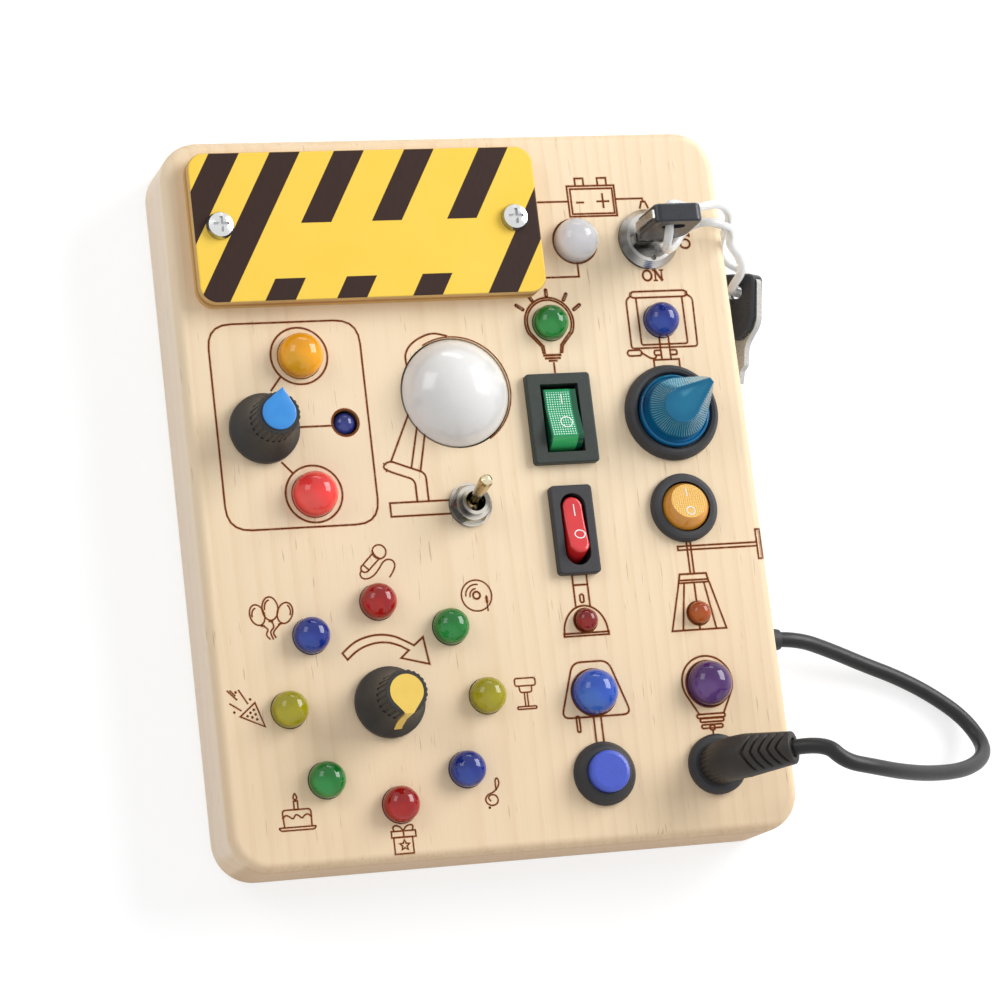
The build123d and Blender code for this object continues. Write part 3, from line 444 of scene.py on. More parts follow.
def rounded(p, r, closed=True):
    """Corners of a polyline rounded by quadratic arcs that start r away from each corner."""
    before, after = np.roll(p, 1, 0) - p, np.roll(p, -1, 0) - p
    reach = [np.minimum(r, 0.5 * np.linalg.norm(side, axis=1))[:, None] for side in (before, after)]
    a = p + before / np.linalg.norm(before, axis=1)[:, None] * reach[0]
    b = p + after / np.linalg.norm(after, axis=1)[:, None] * reach[1]
    t = np.linspace(0, 1, 6)[None, :, None]
    bows = (1 - t) ** 2 * a[:, None] + 2 * t * (1 - t) * p[:, None] + t ** 2 * b[:, None]
    if closed:
        return join(bows.reshape(-1, 2), bows[:1, 0])
    return join(p[:1], bows[1:-1].reshape(-1, 2), p[-1:])


def box(x0, x1, y0, y1, r=0.0):
    corners = line(x0, y0, x1, y0, x1, y1, x0, y1)
    return rounded(corners, r) if r else join(corners, corners[:1])


def pill(x0, y0, x1, y1, r):
    """Outline of a slot with round ends between two points."""
    a = math.degrees(math.atan2(y1 - y0, x1 - x0))
    path = join(arc(x1, y1, r, a - 90, a + 90, step=18), arc(x0, y0, r, a + 90, a + 270, step=18))
    return join(path, path[:1])


def ribbon(path, width, level):
    """Flat strip along a plane path: each point is pushed out both ways along its mitre."""
    closed = np.allclose(path[0], path[-1])
    ring = path[:-1] if closed else path
    before = ring - np.roll(ring, 1, 0)
    after = np.roll(ring, -1, 0) - ring
    if not closed:
        before[0], after[-1] = after[0], before[-1]
    unit = [side / np.maximum(np.linalg.norm(side, axis=1), 1e-9)[:, None] for side in (before, after)]
    mitre = unit[0] + unit[1]
    mitre = mitre / np.maximum(np.linalg.norm(mitre, axis=1), 1e-9)[:, None]
    stretch = 1 / np.maximum(np.sum(mitre * unit[0], axis=1), 0.5)
    side = np.stack([-mitre[:, 1], mitre[:, 0]], 1) * (stretch * width / 2)[:, None]
    if closed:
        ring, side = join(ring, ring[:1]), join(side, side[:1])
    else:                           # the ends reach a little further than the path
        ring = ring.copy()
        ring[0] -= unit[1][0] * width * 0.2
        ring[-1] += unit[0][-1] * width * 0.2
    grid = np.stack([ring + side, ring - side], 1)
    lifted = np.full((*grid.shape[:2], 1), level)
    return np.concatenate([grid, lifted], 2)


def laid(strip):
    """A ribbon as two long rows, its upper side outwards."""
    return strip[:, ::-1].transpose(1, 0, 2), False


def engrave(name, strokes, width=0.86):
    """One piece of burnt lines from plane paths; a stroke may be a (path, width) pair."""
    parts = []
    for k, stroke in enumerate(strokes):
        path, wide = stroke if isinstance(stroke, tuple) else (stroke, width)
        parts.append(laid(ribbon(path, wide, FACE + PRINT_LIFT + 0.003 * (k % 5))))
    piece(name, parts, BURN, "board")


# ---- camera, light and floor
def place_camera():
    """Sees the board from its lower left, through a long lens. The matrix holds the axes and the place."""
    data = bpy.data.cameras.new("camera")
    data.lens, data.sensor_width, data.clip_start, data.clip_end = 129.5, 36.0, 0.01, 50.0
    camera = add("camera", data)
    camera.matrix_world = Matrix((
        (0.95, 0.0511, -0.308, -0.24050), (-0.1169, 0.9729, -0.1994, -0.16145),
        (0.2895, 0.2255, 0.9302, 0.75593), (0, 0, 0, 1)))
    bpy.context.scene.camera = camera


def soft_box(name, direction, width, height, power, distance=0.9):
    """A lamp with a square face that looks at the middle of the board from a direction."""
    data = bpy.data.lights.new(name, "AREA")
    data.shape, data.size, data.size_y, data.energy = "RECTANGLE", width, height, power
    lamp = add(name, data)
    back = np.array(direction) / np.linalg.norm(direction)
    right = np.cross((0.25, 1.0, 0.0), back)
    right /= np.linalg.norm(right)
    up = np.cross(back, right)
    place = back * distance
    lamp.matrix_world = Matrix([(right[k], up[k], back[k], place[k]) for k in range(3)] + [(0, 0, 0, 1)])


def light_room():
    """A white room: plain light from all sides, more of it from below the board's lower edge."""
    world = bpy.data.worlds.new("room")
    bpy.context.scene.world = world
    g = Graph(world)
    direction = g.node("ShaderNodeTexCoord", output="Generated")
    below = g.node("ShaderNodeSeparateXYZ", {}, {0: direction}, 1) * -0.5 + 0.5
    plain = g.node("ShaderNodeValToRGB", {
        "stops": ((0.42, (0.36, 0.365, 0.37, 1)), (0.64, (0.66, 0.66, 0.67, 1)))}, {0: below})
    shade = g.node("ShaderNodeBackground", {}, {0: g.mix(g.white_rays(), plain, WHITE)})
    g.node("ShaderNodeOutputWorld", {}, {0: shade})
    soft_box("key_light", (0.76, 0.36, 0.54), 0.45, 0.65, 7.3)
    soft_box("side_light", (-0.695, 0.466, 0.537), 0.35, 0.50, 1.5)
    soft_box("top_light", (0.13, 0.965, 0.20), 0.40, 0.15, 0.6)


def lay_floor():
    """A white floor under the board that keeps its shadow, seen a little lighter than it is lit."""
    half, drop_by = 3.0, 0.0002
    mesh = bpy.data.meshes.new("floor")
    corners = [(x * half, y * half, -drop_by) for x, y in ((-1, -1), (1, -1), (1, 1), (-1, 1))]
    mesh.from_pydata(corners, [], [(0, 1, 2, 3)])
    f = Finish("floor", Base_Color=(0.86, 0.86, 0.86, 1), Roughness=0.9, Specular_IOR_Level=0.0)
    glow = f.node("ShaderNodeEmission", {}, {0: WHITE, 1: 1.36})
    mixed = f.node("ShaderNodeMixShader", {}, {0: f.white_rays() * 0.5, 1: f.surface, 2: glow})
    f.tree.links.new(mixed.socket, f.output.inputs[0])
    mesh.materials.append(f.material)
    add("floor", mesh)


place_camera()
light_room()
lay_floor()

# ---- finishes
BURN = burn_finish()
SCREW_METAL = metal_finish("screw_plating", tint(225, 226, 226), tint(150, 151, 153), 0.14)
METALS = (  # name, light and dark tone of its painted reflections and smudges, roughness, axis of its turning marks and painted sheen, nodes
    ("lock_plating", (226, 223, 218), (44, 42, 40), 0.12, (46.3, 55.3), "lock_body lock_rotor"),
    ("toggle_plating", (224, 218, 208), (40, 38, 35), 0.12, (-3.2, -4.1), "toggle_housing toggle_nut_and_washer"),
    ("lever_plating", (232, 220, 186), (176, 158, 118), 0.12, None, "toggle_lever"),
    ("contact_brass", (220, 186, 112), (180, 140, 74), 0.25, None, "battery_contacts plug_pin"),
    ("key_nickel", (205, 204, 200), (150, 148, 144), 0.22, None, "key_blade spare_key_blade"),
)
PLASTICS = (  # name, light and dark tone, roughness, size and depth of its skin, strength of its gloss, nodes
    ("black_plastic", (56, 56, 58), (46, 46, 48), 0.5, 0.5, 0.02, 0.3,
     "battery_box battery_door yellow_rotary_switch blue_rotary_switch push_button_bezel jack_socket lamp_holders "
     "cord_gland"),
    ("bezel_grey", (58, 64, 60), (46, 52, 49), 0.5, 0.3, 0.04, 0.3, "green_rocker_housing"),
    ("dark_ring", (64, 64, 66), (52, 52, 55), 0.55, 0.3, 0.05, 0.3,
     "red_rocker_housing amber_rocker_housing selector_bezel"),
    ("knob_charcoal", (58, 56, 55), (46, 45, 44), 0.48, 0.35, 0.02, 0.3, "yellow_knob blue_knob"),
    ("circuit_green", (28, 92, 58), (22, 76, 50), 0.35, 0.5, 0.02, 0.5, "circuit_board table_light_board"),
    ("cell_wrap", (52, 60, 70), (44, 50, 60), 0.3, 0.5, 0.02, 0.5, "battery_cells"),
    ("yellow_inlay", (243, 208, 98), (236, 198, 88), 0.35, 0.5, 0.02, 0.5, "yellow_knob_inlay"),
    ("push_blue", (70, 92, 200), (62, 82, 186), 0.3, 0.5, 0.02, 0.5, "push_button_cap"),
    ("key_head_plastic", (46, 48, 54), (36, 38, 44), 0.3, 0.5, 0.02, 0.4, "key_head spare_key_head"),
)
BLUE_INLAY = plastic_finish("blue_inlay", tint(60, 150, 226), tint(50, 134, 212), 0.35)
MARK = plastic_finish("mark_white", tint(236, 240, 236), tint(222, 228, 224), 0.4)
CORD_BLACK = plastic_finish("cord_black", tint(34, 33, 34), tint(26, 25, 26), 0.4, Specular_IOR_Level=0.35)
PLUG_BLACK = plastic_finish("plug_black", tint(54, 49, 45), tint(42, 38, 35), 0.5, 0.45, 0.03,
                            Specular_IOR_Level=0.3)
OPAL = plastic_finish("opal_dome", tint(232, 231, 229), tint(226, 225, 223), 0.22, 0.6, 0.004,
                      Coat_Weight=0.6, Coat_Roughness=0.08)
TUBE = Finish("clear_tube", Roughness=0.12, IOR=1.45, Transmission_Weight=0.35, Coat_Weight=0.5)
TUBE.paint(Base_Color=TUBE.mix(TUBE.noise(4.0), tint(250, 250, 248), tint(238, 239, 239)))

dress(pine_finish(), "board_body", "back_cover")
dress(sign_finish(), "sign_plate")
dress(SCREW_METAL, "sign_screws", "back_screws", "panel_nuts", "yellow_rotary_shaft", "blue_rotary_shaft")
dress(BLUE_INLAY, "blue_knob_inlay")
dress(OPAL, "table_light_dome")
for name, light, dark, rough, axis, nodes in METALS:
    dress(metal_finish(name, tint(*light), tint(*dark), rough, axis), *nodes.split())
for name, light, dark, rough, skin, depth, gloss, nodes in PLASTICS:
    plastic = plastic_finish(name, tint(*light), tint(*dark), rough, skin, depth, Specular_IOR_Level=gloss)
    dress(plastic, *nodes.split())

# ---- lamps
RING_X, RING_Y, RING_R = -26.7, -46.6, 22.2


def ring_lamp(k):
    angle = math.radians(90 + 45 * k)
    return RING_X + RING_R * math.cos(angle), RING_Y + RING_R * math.sin(angle)


LAMPS = {   # node: (slot, deep colour, light colour, share of clearness, radius, height over the face, places)
    "lamps_red": ("red_lens", (160, 8, 10), (206, 34, 26), 0.1, 4.0, 5.0, (ring_lamp(0), ring_lamp(4))),
    "lamps_blue": ("blue_lens", (20, 40, 136), (52, 84, 186), 0.1, 4.0, 5.0,
                   (ring_lamp(1), ring_lamp(5), (46.9, 36.2))),
    "lamps_lime": ("lime_lens", (168, 158, 4), (196, 184, 36), 0.1, 4.0, 5.0, (ring_lamp(2), ring_lamp(6))),
    "lamps_green": ("green_lens", (8, 120, 38), (50, 168, 78), 0.1, 4.0, 5.0,
                    (ring_lamp(3), ring_lamp(7), (20.4, 36.5))),
    "panel_lamp_orange": ("orange_lens", (250, 166, 10), (252, 184, 40), 0.0, 5.0, 6.0, ((-38.1, 31.2),)),
    "panel_lamp_red": ("coral_lens", (250, 62, 60), (254, 92, 84), 0.0, 5.0, 6.0, ((-38.2, 0.1),)),
    "panel_lamp_navy": ("navy_lens", (34, 44, 122), (72, 86, 172), 0.1, 2.5, 0.8, ((-29.4, 15.9),)),
    "desk_lamp_red": ("red_lens", (130, 6, 8), (172, 28, 24), 0.1, 2.5, 3.4, ((20.2, -31.4),)),
    "basket_lamp_amber": ("amber_lens", (176, 72, 6), (206, 102, 22), 0.1, 2.5, 3.4, ((46.9, -31.4),)),
    "shade_lamp_blue": ("blue_lens", (40, 84, 196), (76, 128, 222), 0.1, 5.0, 6.0, ((20.1, -47.5),)),
    "bulb_lamp_purple": ("purple_lens", (74, 26, 102), (122, 84, 156), 0.1, 5.0, 6.0, ((47.0, -47.4),)),
    "sign_lamp_white": ("white_lens", (222, 220, 222), (232, 230, 232), 0.0, 5.0, 6.0, ((28.9, 55.5),)),
}


def lamp_profile(r, proud):
    """Half outline of a lamp from its flange's foot up the wall and over a half-round dome."""
    top = FACE + proud
    dome = np.radians(np.linspace(0, 88, 26))     # the last bit of the dome is the polygon that closes it
    wall = [(r - 0.4, INNER - 1.0), (r + 0.4, INNER - 1.0), (r + 0.45, INNER - 0.9), (r + 0.45, INNER - 0.1),
            (r, INNER - 0.02), (r, (INNER + top - r) / 2)]
    return np.concatenate([wall, np.stack([r * np.cos(dome), top - r + r * np.sin(dome)], 1)])


for node, (slot_name, deep, light, clear, r, proud, places) in LAMPS.items():
    finish = lens_finish(node + "_plastic", tint(*deep), tint(*light), clear)
    domes = [(lathe(lamp_profile(r, proud), 72, place), True) for place in places]
    piece(node + "_domes", domes, finish, "board", (node,), 50)

# ---- engraving
engrave("panel_lines", [
    box(-58.25, -24.05, -7, 39.1, 5.5), arc(-38.2, 31.35, 6.4), arc(-38.2, 0.3, 6.35),
    line(-45.3, 23.8, -42.8, 26.9), line(-40.3, 15.35, -32.6, 15.35), line(-44.6, 7.6, -42.5, 5.2),
    (arc(-29.4, 15.9, 3.05), 0.8),
])

engrave("desk_lamp_lines", [
    curve(-14, 28.2, -14, 30.5, -12.9, 32.5, -10.6, 34.2, -7.3, 35.25, -4, 34.6),
    line(-14.8, 17.3, -20.1, 6.6), line(-13.1, 14.8, -15.6, 5), line(-11.6, 12.7, -13.6, 4.2),
    rounded(line(-12.5, -2.7, -12.5, 3.7, -20.6, 6.9, -22.3, 5.4, -20.4, 4.3, -15.1, 2.3, -15.1, -2.7),
            1.3, False),
    line(-7.4, -2.65, -21.4, -2.65, -21.4, -5.7, -7.4, -5.7),
    (arc(-3.4, 21.6, 12.75, -58, 120), 0.6),
])

engrave("battery_lines", [
    box(28.5, 39.85, 61.3, 68.5), box(29.2, 39.3, 61.9, 67.8),
    line(30.6, 68.5, 30.6, 70.3, 32.6, 70.3, 32.6, 68.5),
    line(36, 68.5, 36, 70.3, 38.1, 70.3, 38.1, 68.5),
    line(30.5, 64.6, 32.1, 64.6), line(35.4, 64.75, 38.2, 64.75), line(36.8, 63.3, 36.8, 66.5),
    line(19.8, 64.9, 28.5, 64.9), line(39.9, 65.2, 46.3, 65.2, 46.4, 64.5),
    line(45.5, 62.9, 46, 64.4, 46.9, 64.4, 47.5, 62.9),
    line(28.8, 50.4, 28.8, 47.2, 20.6, 47.2), (arc(28.9, 55.5, 5.25), 0.6),
])

engrave("bulb_lines", [
    pill(13.1, 41, 14.5, 40, 0.22), pill(16.1, 43.3, 16.9, 42, 0.22),
    pill(20.45, 44.3, 20.45, 42.9, 0.22), pill(25.1, 43.2, 24.4, 41.9, 0.22),
    pill(28, 40.6, 26.6, 39.6, 0.22),
    join(line(18.1, 29.7, 17.9, 31.2), arc(20.4, 36.8, 5.75, 205, -25), line(23, 31.4, 22.6, 29.7)),
    join(line(18.5, 29.7, 18.4, 31.3), arc(20.4, 36.8, 5.2, 206, -26), line(22.5, 31.5, 22.2, 29.7)),
    (line(18.2, 29.2, 22.1, 29.2), 1.1), (line(18.5, 28.5, 21.9, 28.5), 1),
    (line(19.3, 27.9, 21.1, 27.9), 0.9), line(20.3, 27.4, 20.3, 25.2),
])

engrave("television_lines", [
    rounded(line(40.2, 42.45, 40.9, 43.2, 53.6, 43.2, 54.3, 42.45, 53.6, 41.75, 40.9, 41.75), 0.7),
    rounded(line(40.3, 42.1, 39.3, 41.3, 39.2, 29.95, 55.1, 29.95, 55.3, 41.3, 54.2, 42.1), 0.8, False),
    rounded(line(41.7, 41.7, 41.7, 30.7, 52.8, 30.7, 52.8, 41.7), 0.6, False),
    line(46.1, 32.8, 46.1, 27.2), line(48.3, 32.8, 48.3, 27.2),
    rounded(line(46.1, 28.2, 44.5, 28.2, 44.5, 29.3, 46.1, 29.3), 0.4, False),
    rounded(line(48.3, 28.2, 49.9, 28.2, 49.9, 29.3, 48.3, 29.3), 0.4, False),
    pill(38.7, 28.9, 40.8, 28.9, 0.65),
    curve(41.4, 28.9, 42.3, 28.3, 43.4, 27.6, 44.5, 27.5, 44.9, 28.2),
    line(44.1, 25.4, 44.1, 27.1, 50.2, 27.1, 50.2, 25.4),
])

engrave("small_lamp_lines", [
    line(18.35, -20.8, 18.35, -28.1), line(21.7, -20.8, 21.7, -28.1), line(18.35, -21, 21.7, -21),
    line(18.35, -23.35, 21.7, -23.35), pill(20, -25.9, 20, -26.9, 0.42),
    arc(20.1, -34.2, 5.1, 0, 180, 6.15), box(14.9, 25.3, -34.75, -34.15), (arc(20.2, -31.4, 2.75), 0.5),
])

engrave("basket_lines", [
    line(63, -16.05, 44, -16.05, 44, -16.9, 63, -16.9), box(63, 64, -19.8, -13.1),
    line(46.2, -14.6, 46.2, -22.3), line(47.1, -14.6, 47.1, -22.3),
    line(43.6, -22.4, 49.9, -22.4, 50.3, -24.4, 43.1, -24.4, 43.6, -22.4), line(43.3, -23.8, 50.2, -23.8),
    line(43.1, -24.5, 40.2, -35.1, 53.1, -35.1, 50.4, -24.5), line(44.4, -24.5, 42.8, -35),
    line(46.8, -24.5, 46.8, -28.9), line(46.8, -33.9, 46.8, -35), line(49.1, -24.5, 50.7, -35),
    (arc(46.9, -31.4, 2.75), 0.5),
])

engrave("shade_lines", [
    rounded(line(15.9, -40.6, 24.2, -40.6, 28.2, -52.85, 12, -52.85), 2),
    pill(15.65, -52.9, 15.65, -55.7, 0.35), line(19.3, -52.9, 19.3, -59.4), line(21, -52.9, 21, -59.4),
    (arc(20.1, -47.5, 5.25), 0.6),
])

engrave("purple_bulb_lines", [
    join(line(44, -54.1), arc(46.8, -47, 5.9, 208, -28), line(49.8, -54.1)),
    pill(43.8, -54.55, 49.6, -54.55, 0.42), pill(44.4, -55.5, 49.2, -55.5, 0.4),
    pill(44.6, -56.9, 48.8, -56.9, 0.4), arc(46.7, -57.2, 0.6, step=20), line(46.7, -57.8, 46.7, -58.9),
    (arc(47, -47.4, 5.25), 0.6),
])

engrave("arrow_line", [join(
    curve(-35.8, -35.1, -33, -33, -30, -31.9, -27, -31.6, -24, -32.1, -21.5, -33.3, -19.6, -34.4),
    line(-17.4, -32.7, -16.6, -38.7, -22.8, -37, -20.9, -35.4),
    curve(-22.7, -34.3, -25, -33.5, -27.5, -33.3, -30.2, -33.8, -32.6, -34.9, -34.8, -36.6),
    line(-35.8, -35.1))])

microphone = [
    arc(-25.1, -13.3, 1.55, step=12), curve(-26.6, -13, -26.1, -14.1, -25, -14.9),
    line(-26.7, -13.7, -29.4, -16.3), line(-25.4, -15, -28, -17.4),
    curve(-29.4, -16.3, -29.6, -17, -29.1, -17.6, -28.4, -17.6, -28, -17.4),
    line(-28.9, -16.1, -27.9, -17.1),
    curve(-29.5, -17.2, -29.9, -18, -29.5, -18.9, -28.3, -19.1, -26.8, -18.4, -25.5, -17,
        -24.4, -15.6, -23.3, -15.1, -22.2, -15.5, -21.9, -16.6, -22.5, -17.9, -23.3, -19),
]
disc_record = [
    arc(-4.15, -24.3, 3.45), (arc(-4.15, -24.25, 0.8, step=20), 0.9), arc(-4.15, -24.25, 1.5, 95, 190, step=12),
    arc(-4.15, -24.25, 2.45, 80, 180, step=12), (line(-1.95, -24.9, -1.9, -25.8), 1.2),
    line(-1.95, -24.5, -1.9, -27.8),
]
goblet = [
    box(2.15, 6.85, -44.95, -43.25, 0.55), rounded(line(3, -45, 3.2, -46.4, 5.8, -46.4, 5.95, -45), 0.5, False),
    line(4.1, -46.5, 4.1, -49.5), line(4.75, -46.5, 4.75, -49.5), pill(2.5, -49.8, 6.3, -49.8, 0.28),
]
clef = [
    curve(-4.9, -67.2, -4.95, -66, -4.85, -65, -4.5, -64.7, -4.15, -65.2, -4.3, -66.3, -5.4, -67.5,
          -6.9, -68.2, -7.5, -69.1, -7.2, -70, -6.2, -70.5, -5.1, -70.2, -4.7, -69.3, -5.2, -68.4,
          -6.2, -68.2, -6.8, -68.8, -6.4, -69.5),
    (arc(-6.8, -70.95, 0.16, step=40), 0.5),
]
tenth = np.arange(11) * math.pi / 5
reach = np.where(np.arange(11) % 2, 0.52, 1.15)
star = np.stack([reach * np.sin(tenth), reach * np.cos(tenth)], 1) + (-26.7, -77.5)
gift = [
    box(-29.4, -24, -75.75, -74.4), box(-29, -24.8, -79.3, -75.75), line(-26.7, -74.4, -26.7, -75.7), star,
    curve(-26.7, -74.4, -27.3, -73.6, -28.2, -73.2, -28.9, -73.5, -28.8, -74.3),
    curve(-26.7, -74.4, -26.1, -73.6, -25.2, -73.2, -24.5, -73.4, -24.6, -74.3),
]
cake = [
    rounded(line(-53.9, -71.75, -45.6, -71.75, -46.1, -72.4, -53.4, -72.4), 0.4),
    rounded(line(-52.6, -71.7, -52.8, -68, -46.5, -68, -46.6, -71.7), 0.8, False),
    curve(-52.8, -69.7, -52.1, -69.15, -51.4, -69.4, -50.6, -69.9, -49.9, -69.15, -49.3, -69.3,
        -48.6, -69.85, -47.9, -69.3, -47.2, -69.15, -46.5, -69.7),
    box(-50.1, -49.25, -68, -66.2), curve(-49.7, -66, -50.1, -65.5, -49.7, -64.6, -49.3, -65.5, -49.7, -66),
]
balloons = [
    oval(-53.7, -25.6, 1.6, 2.3, 14), oval(-50.75, -24.35, 1.75, 2.55, 0), oval(-47.55, -25.5, 1.65, 2.35, -22),
    arc(-53.9, -25.6, 0.95, 100, 190, 1.5, 12), arc(-50.8, -24.3, 1.15, 95, 185, 1.8, 12),
    arc(-47.3, -25.2, 1, -30, 60, 1.5, 12),
    curve(-52.7, -27.9, -51.7, -28.9, -52.1, -30, -51.4, -31),
    curve(-50.8, -27, -50.3, -28.3, -51.1, -29.5, -50.7, -31),
    curve(-48.7, -27.7, -49.8, -28.7, -50.5, -29.7, -50.1, -30.7), (line(-51.2, -27.1, -50.4, -27.1), 0.8),
    (line(-53, -28, -52.4, -28.1), 0.8), (line(-49.2, -27.9, -48.5, -27.7), 0.8),
]
popper = [
    line(-59.7, -47.3, -56.2, -44.5, -54.5, -49.8, -59.7, -47.3), line(-62, -41.6, -60.1, -43.6),
    line(-61.4, -41.6, -60.4, -42.7), line(-59.5, -41.6, -57.8, -44.6), line(-61.7, -44.4, -59.4, -46),
]
dots = line(-56.6, -46, -57.4, -46.6, -58.1, -47.3, -57.1, -47.6, -56.3, -47, -56.1, -48.1,
            -60.2, -42, -57.2, -43.7, -60.9, -46.3)
popper += [(arc(x, y, 0.16, step=40), 0.5) for x, y in dots]
engrave("ring_pictures", microphone + disc_record + goblet + clef + gift + cake + balloons + popper, 0.68)


BOLD = 1.55
LETTERS = {  # strokes of letters 2.6 mm tall with their plain widths, and each letter's advance
    "O": ([(arc(1.25, 1.3, 1.05, ry=1.18, step=12), 0.62)], 2.75),
    "N": ([(line(0.45, 0.1, 0.45, 2.5), 0.5), (line(0.45, 2.45, 2.0, 0.15), 0.8), (line(2.0, 0.1, 2.0, 2.5), 0.5),
           (line(0.05, 0.08, 0.85, 0.08), 0.45), (line(0.0, 2.5, 0.6, 2.5), 0.45),
           (line(1.6, 2.5, 2.4, 2.5), 0.45)], 2.7),
    "F": ([(line(0.55, 0.1, 0.55, 2.5), 0.85), (line(0.1, 0.08, 1.05, 0.08), 0.45),
           (line(0.1, 2.5, 1.85, 2.5), 0.45), (line(0.55, 1.35, 1.4, 1.35), 0.45),
           (line(1.85, 2.5, 1.88, 1.95), 0.45), (line(1.4, 1.65, 1.4, 1.05), 0.4)], 2.1),
}


def serif_word(word, x, y, turn):
    """A word of thick and thin strokes along a line that is turned by some degrees."""
    strokes, along = [], 0.0
    for letter in word:
        shapes, advance = LETTERS[letter]
        strokes += [(spin(path + (along, 0), turn) + (x, y), width * BOLD) for path, width in shapes]
        along += advance
    return strokes


engrave("switch_words", serif_word("ON", 43.9, 45.6, 0) + serif_word("OFF", 56.6, 52.9, 90))

# ---- cords
CORD_ROUTE = [
    (69, -37, 8.6), (74, -37.2, 8.3), (82.6, -39.8, 5.4), (91.2, -43.2, 3.2),
    (99.6, -46.6, 2.2), (107.4, -51, 1.8), (114.6, -56.9, 2.2), (117.4, -63.7, 5),
    (113.9, -68.1, 11.1), (105, -71.4, 19.4), (93.2, -72.6, 27.7), (82.7, -72.5, 35.1),
    (74.2, -71.5, 40.1), (66.8, -70.1, 42), (63.146, -65.5, 40.898), (57.784, -65.5, 36.398),
]
TETHER_ROUTE = [
    (45.6, 54.8, 35.1), (45.3, 52, 34.8), (45.2, 49.7, 32.2), (46.8, 49.8, 27.8),
    (50.2, 51.8, 24), (52.8, 55.2, 23.4), (55.4, 56.8, 25), (58.6, 56.6, 26.8),
    (62, 56, 25.8), (65.2, 55.9, 22.4), (66.3, 53.8, 17.4), (69.2, 51.6, 15.4),
    (70.4, 48.4, 13.8), (68.2, 45.4, 11), (68.9, 44.9, 9), (73, 44.8, 6.2),
    (75.8, 45.6, 4.6), (76.6, 48.6, 3.4), (74.4, 52, 2.4), (70.8, 53.8, 2.8),
    (68.2, 55.4, 6), (67.1, 57, 10.8), (67, 58.6, 15.6), (66.2, 59.6, 20.2),
    (63.6, 60.6, 24.6), (60, 60.6, 27.8), (56.4, 59.4, 29.2), (52.2, 59, 30.2),
    (48.6, 59.6, 31.8), (46, 58.6, 34.6), (45.6, 55.8, 35.1),
]


def spline_points(name, route):
    """Points along a smooth NURBS line whose control points are the route, read from Blender's own curve."""
    data = bpy.data.curves.new(name, "CURVE")
    data.dimensions, data.resolution_u = "3D", 14
    spline = data.splines.new("NURBS")
    spline.points.add(len(route) - 1)
    for point, place in zip(spline.points, route):
        point.co = (*(part * MM for part in place), 1)
    spline.order_u, spline.use_endpoint_u = 3, True
    holder = add(name, data)
    mesh = bpy.data.meshes.new_from_object(holder)
    flat = np.empty(len(mesh.vertices) * 3)
    mesh.vertices.foreach_get("co", flat)
    bpy.data.objects.remove(holder)
    bpy.data.curves.remove(data)
    bpy.data.meshes.remove(mesh)
    points = flat.reshape(-1, 3) / MM
    keep = np.concatenate([[True], np.linalg.norm(np.diff(points, axis=0), axis=1) > 1e-4])
    return points[keep]


def tube(points, radius, sides):
    """Round section carried along a line, with a frame that turns no more than the line does."""
    tangent = np.gradient(points, axis=0)
    tangent /= np.linalg.norm(tangent, axis=1)[:, None]
    side = np.cross(tangent[0], (0.3, 0.2, 0.93))
    frames = []
    for along in tangent:               # the frame is handed on from one point to the next
        side = side - along * (side @ along)
        side = side / np.linalg.norm(side)
        frames.append(side)
    u = np.array(frames)
    v = np.cross(tangent, u)
    a = np.linspace(0, 2 * math.pi, sides, endpoint=False)[None, :, None]
    return points[:, None] + radius * (u[:, None] * np.cos(a) + v[:, None] * np.sin(a))


PUSH_X, PUSH_Y, PRESS = COLUMN_A, -65.6, 1.5    # the push button's axis and travel
SPRING_FOOT, SPRING_HIGH, SPRING_R, SPRING_WIRE, SPRING_TURNS = 11.4, 5.2, 1.9, 0.22, 4
turn = np.linspace(0, 2 * math.pi * SPRING_TURNS, 40 * SPRING_TURNS + 1)
helix = np.stack([PUSH_X + SPRING_R * np.cos(turn), PUSH_Y + SPRING_R * np.sin(turn),
                  SPRING_FOOT + SPRING_HIGH * turn / turn[-1]], 1)
button_spring = piece("button_spring", [(tube(helix, SPRING_WIRE, 12), True)], SCREW_METAL, "board",
                      ("push_button_spring",))
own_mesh(button_spring)

PLUG_FOOT, PLUG_RISE, PLUG_BEND_R, PLUG_BEND, PLUG_BOOT = (COLUMN_B, -65.5, 20.3), 2.2, 9.5, math.radians(50), 10.3
RIDGES, GROOVES, GROOVE_PITCH = 14, 5, 1.9


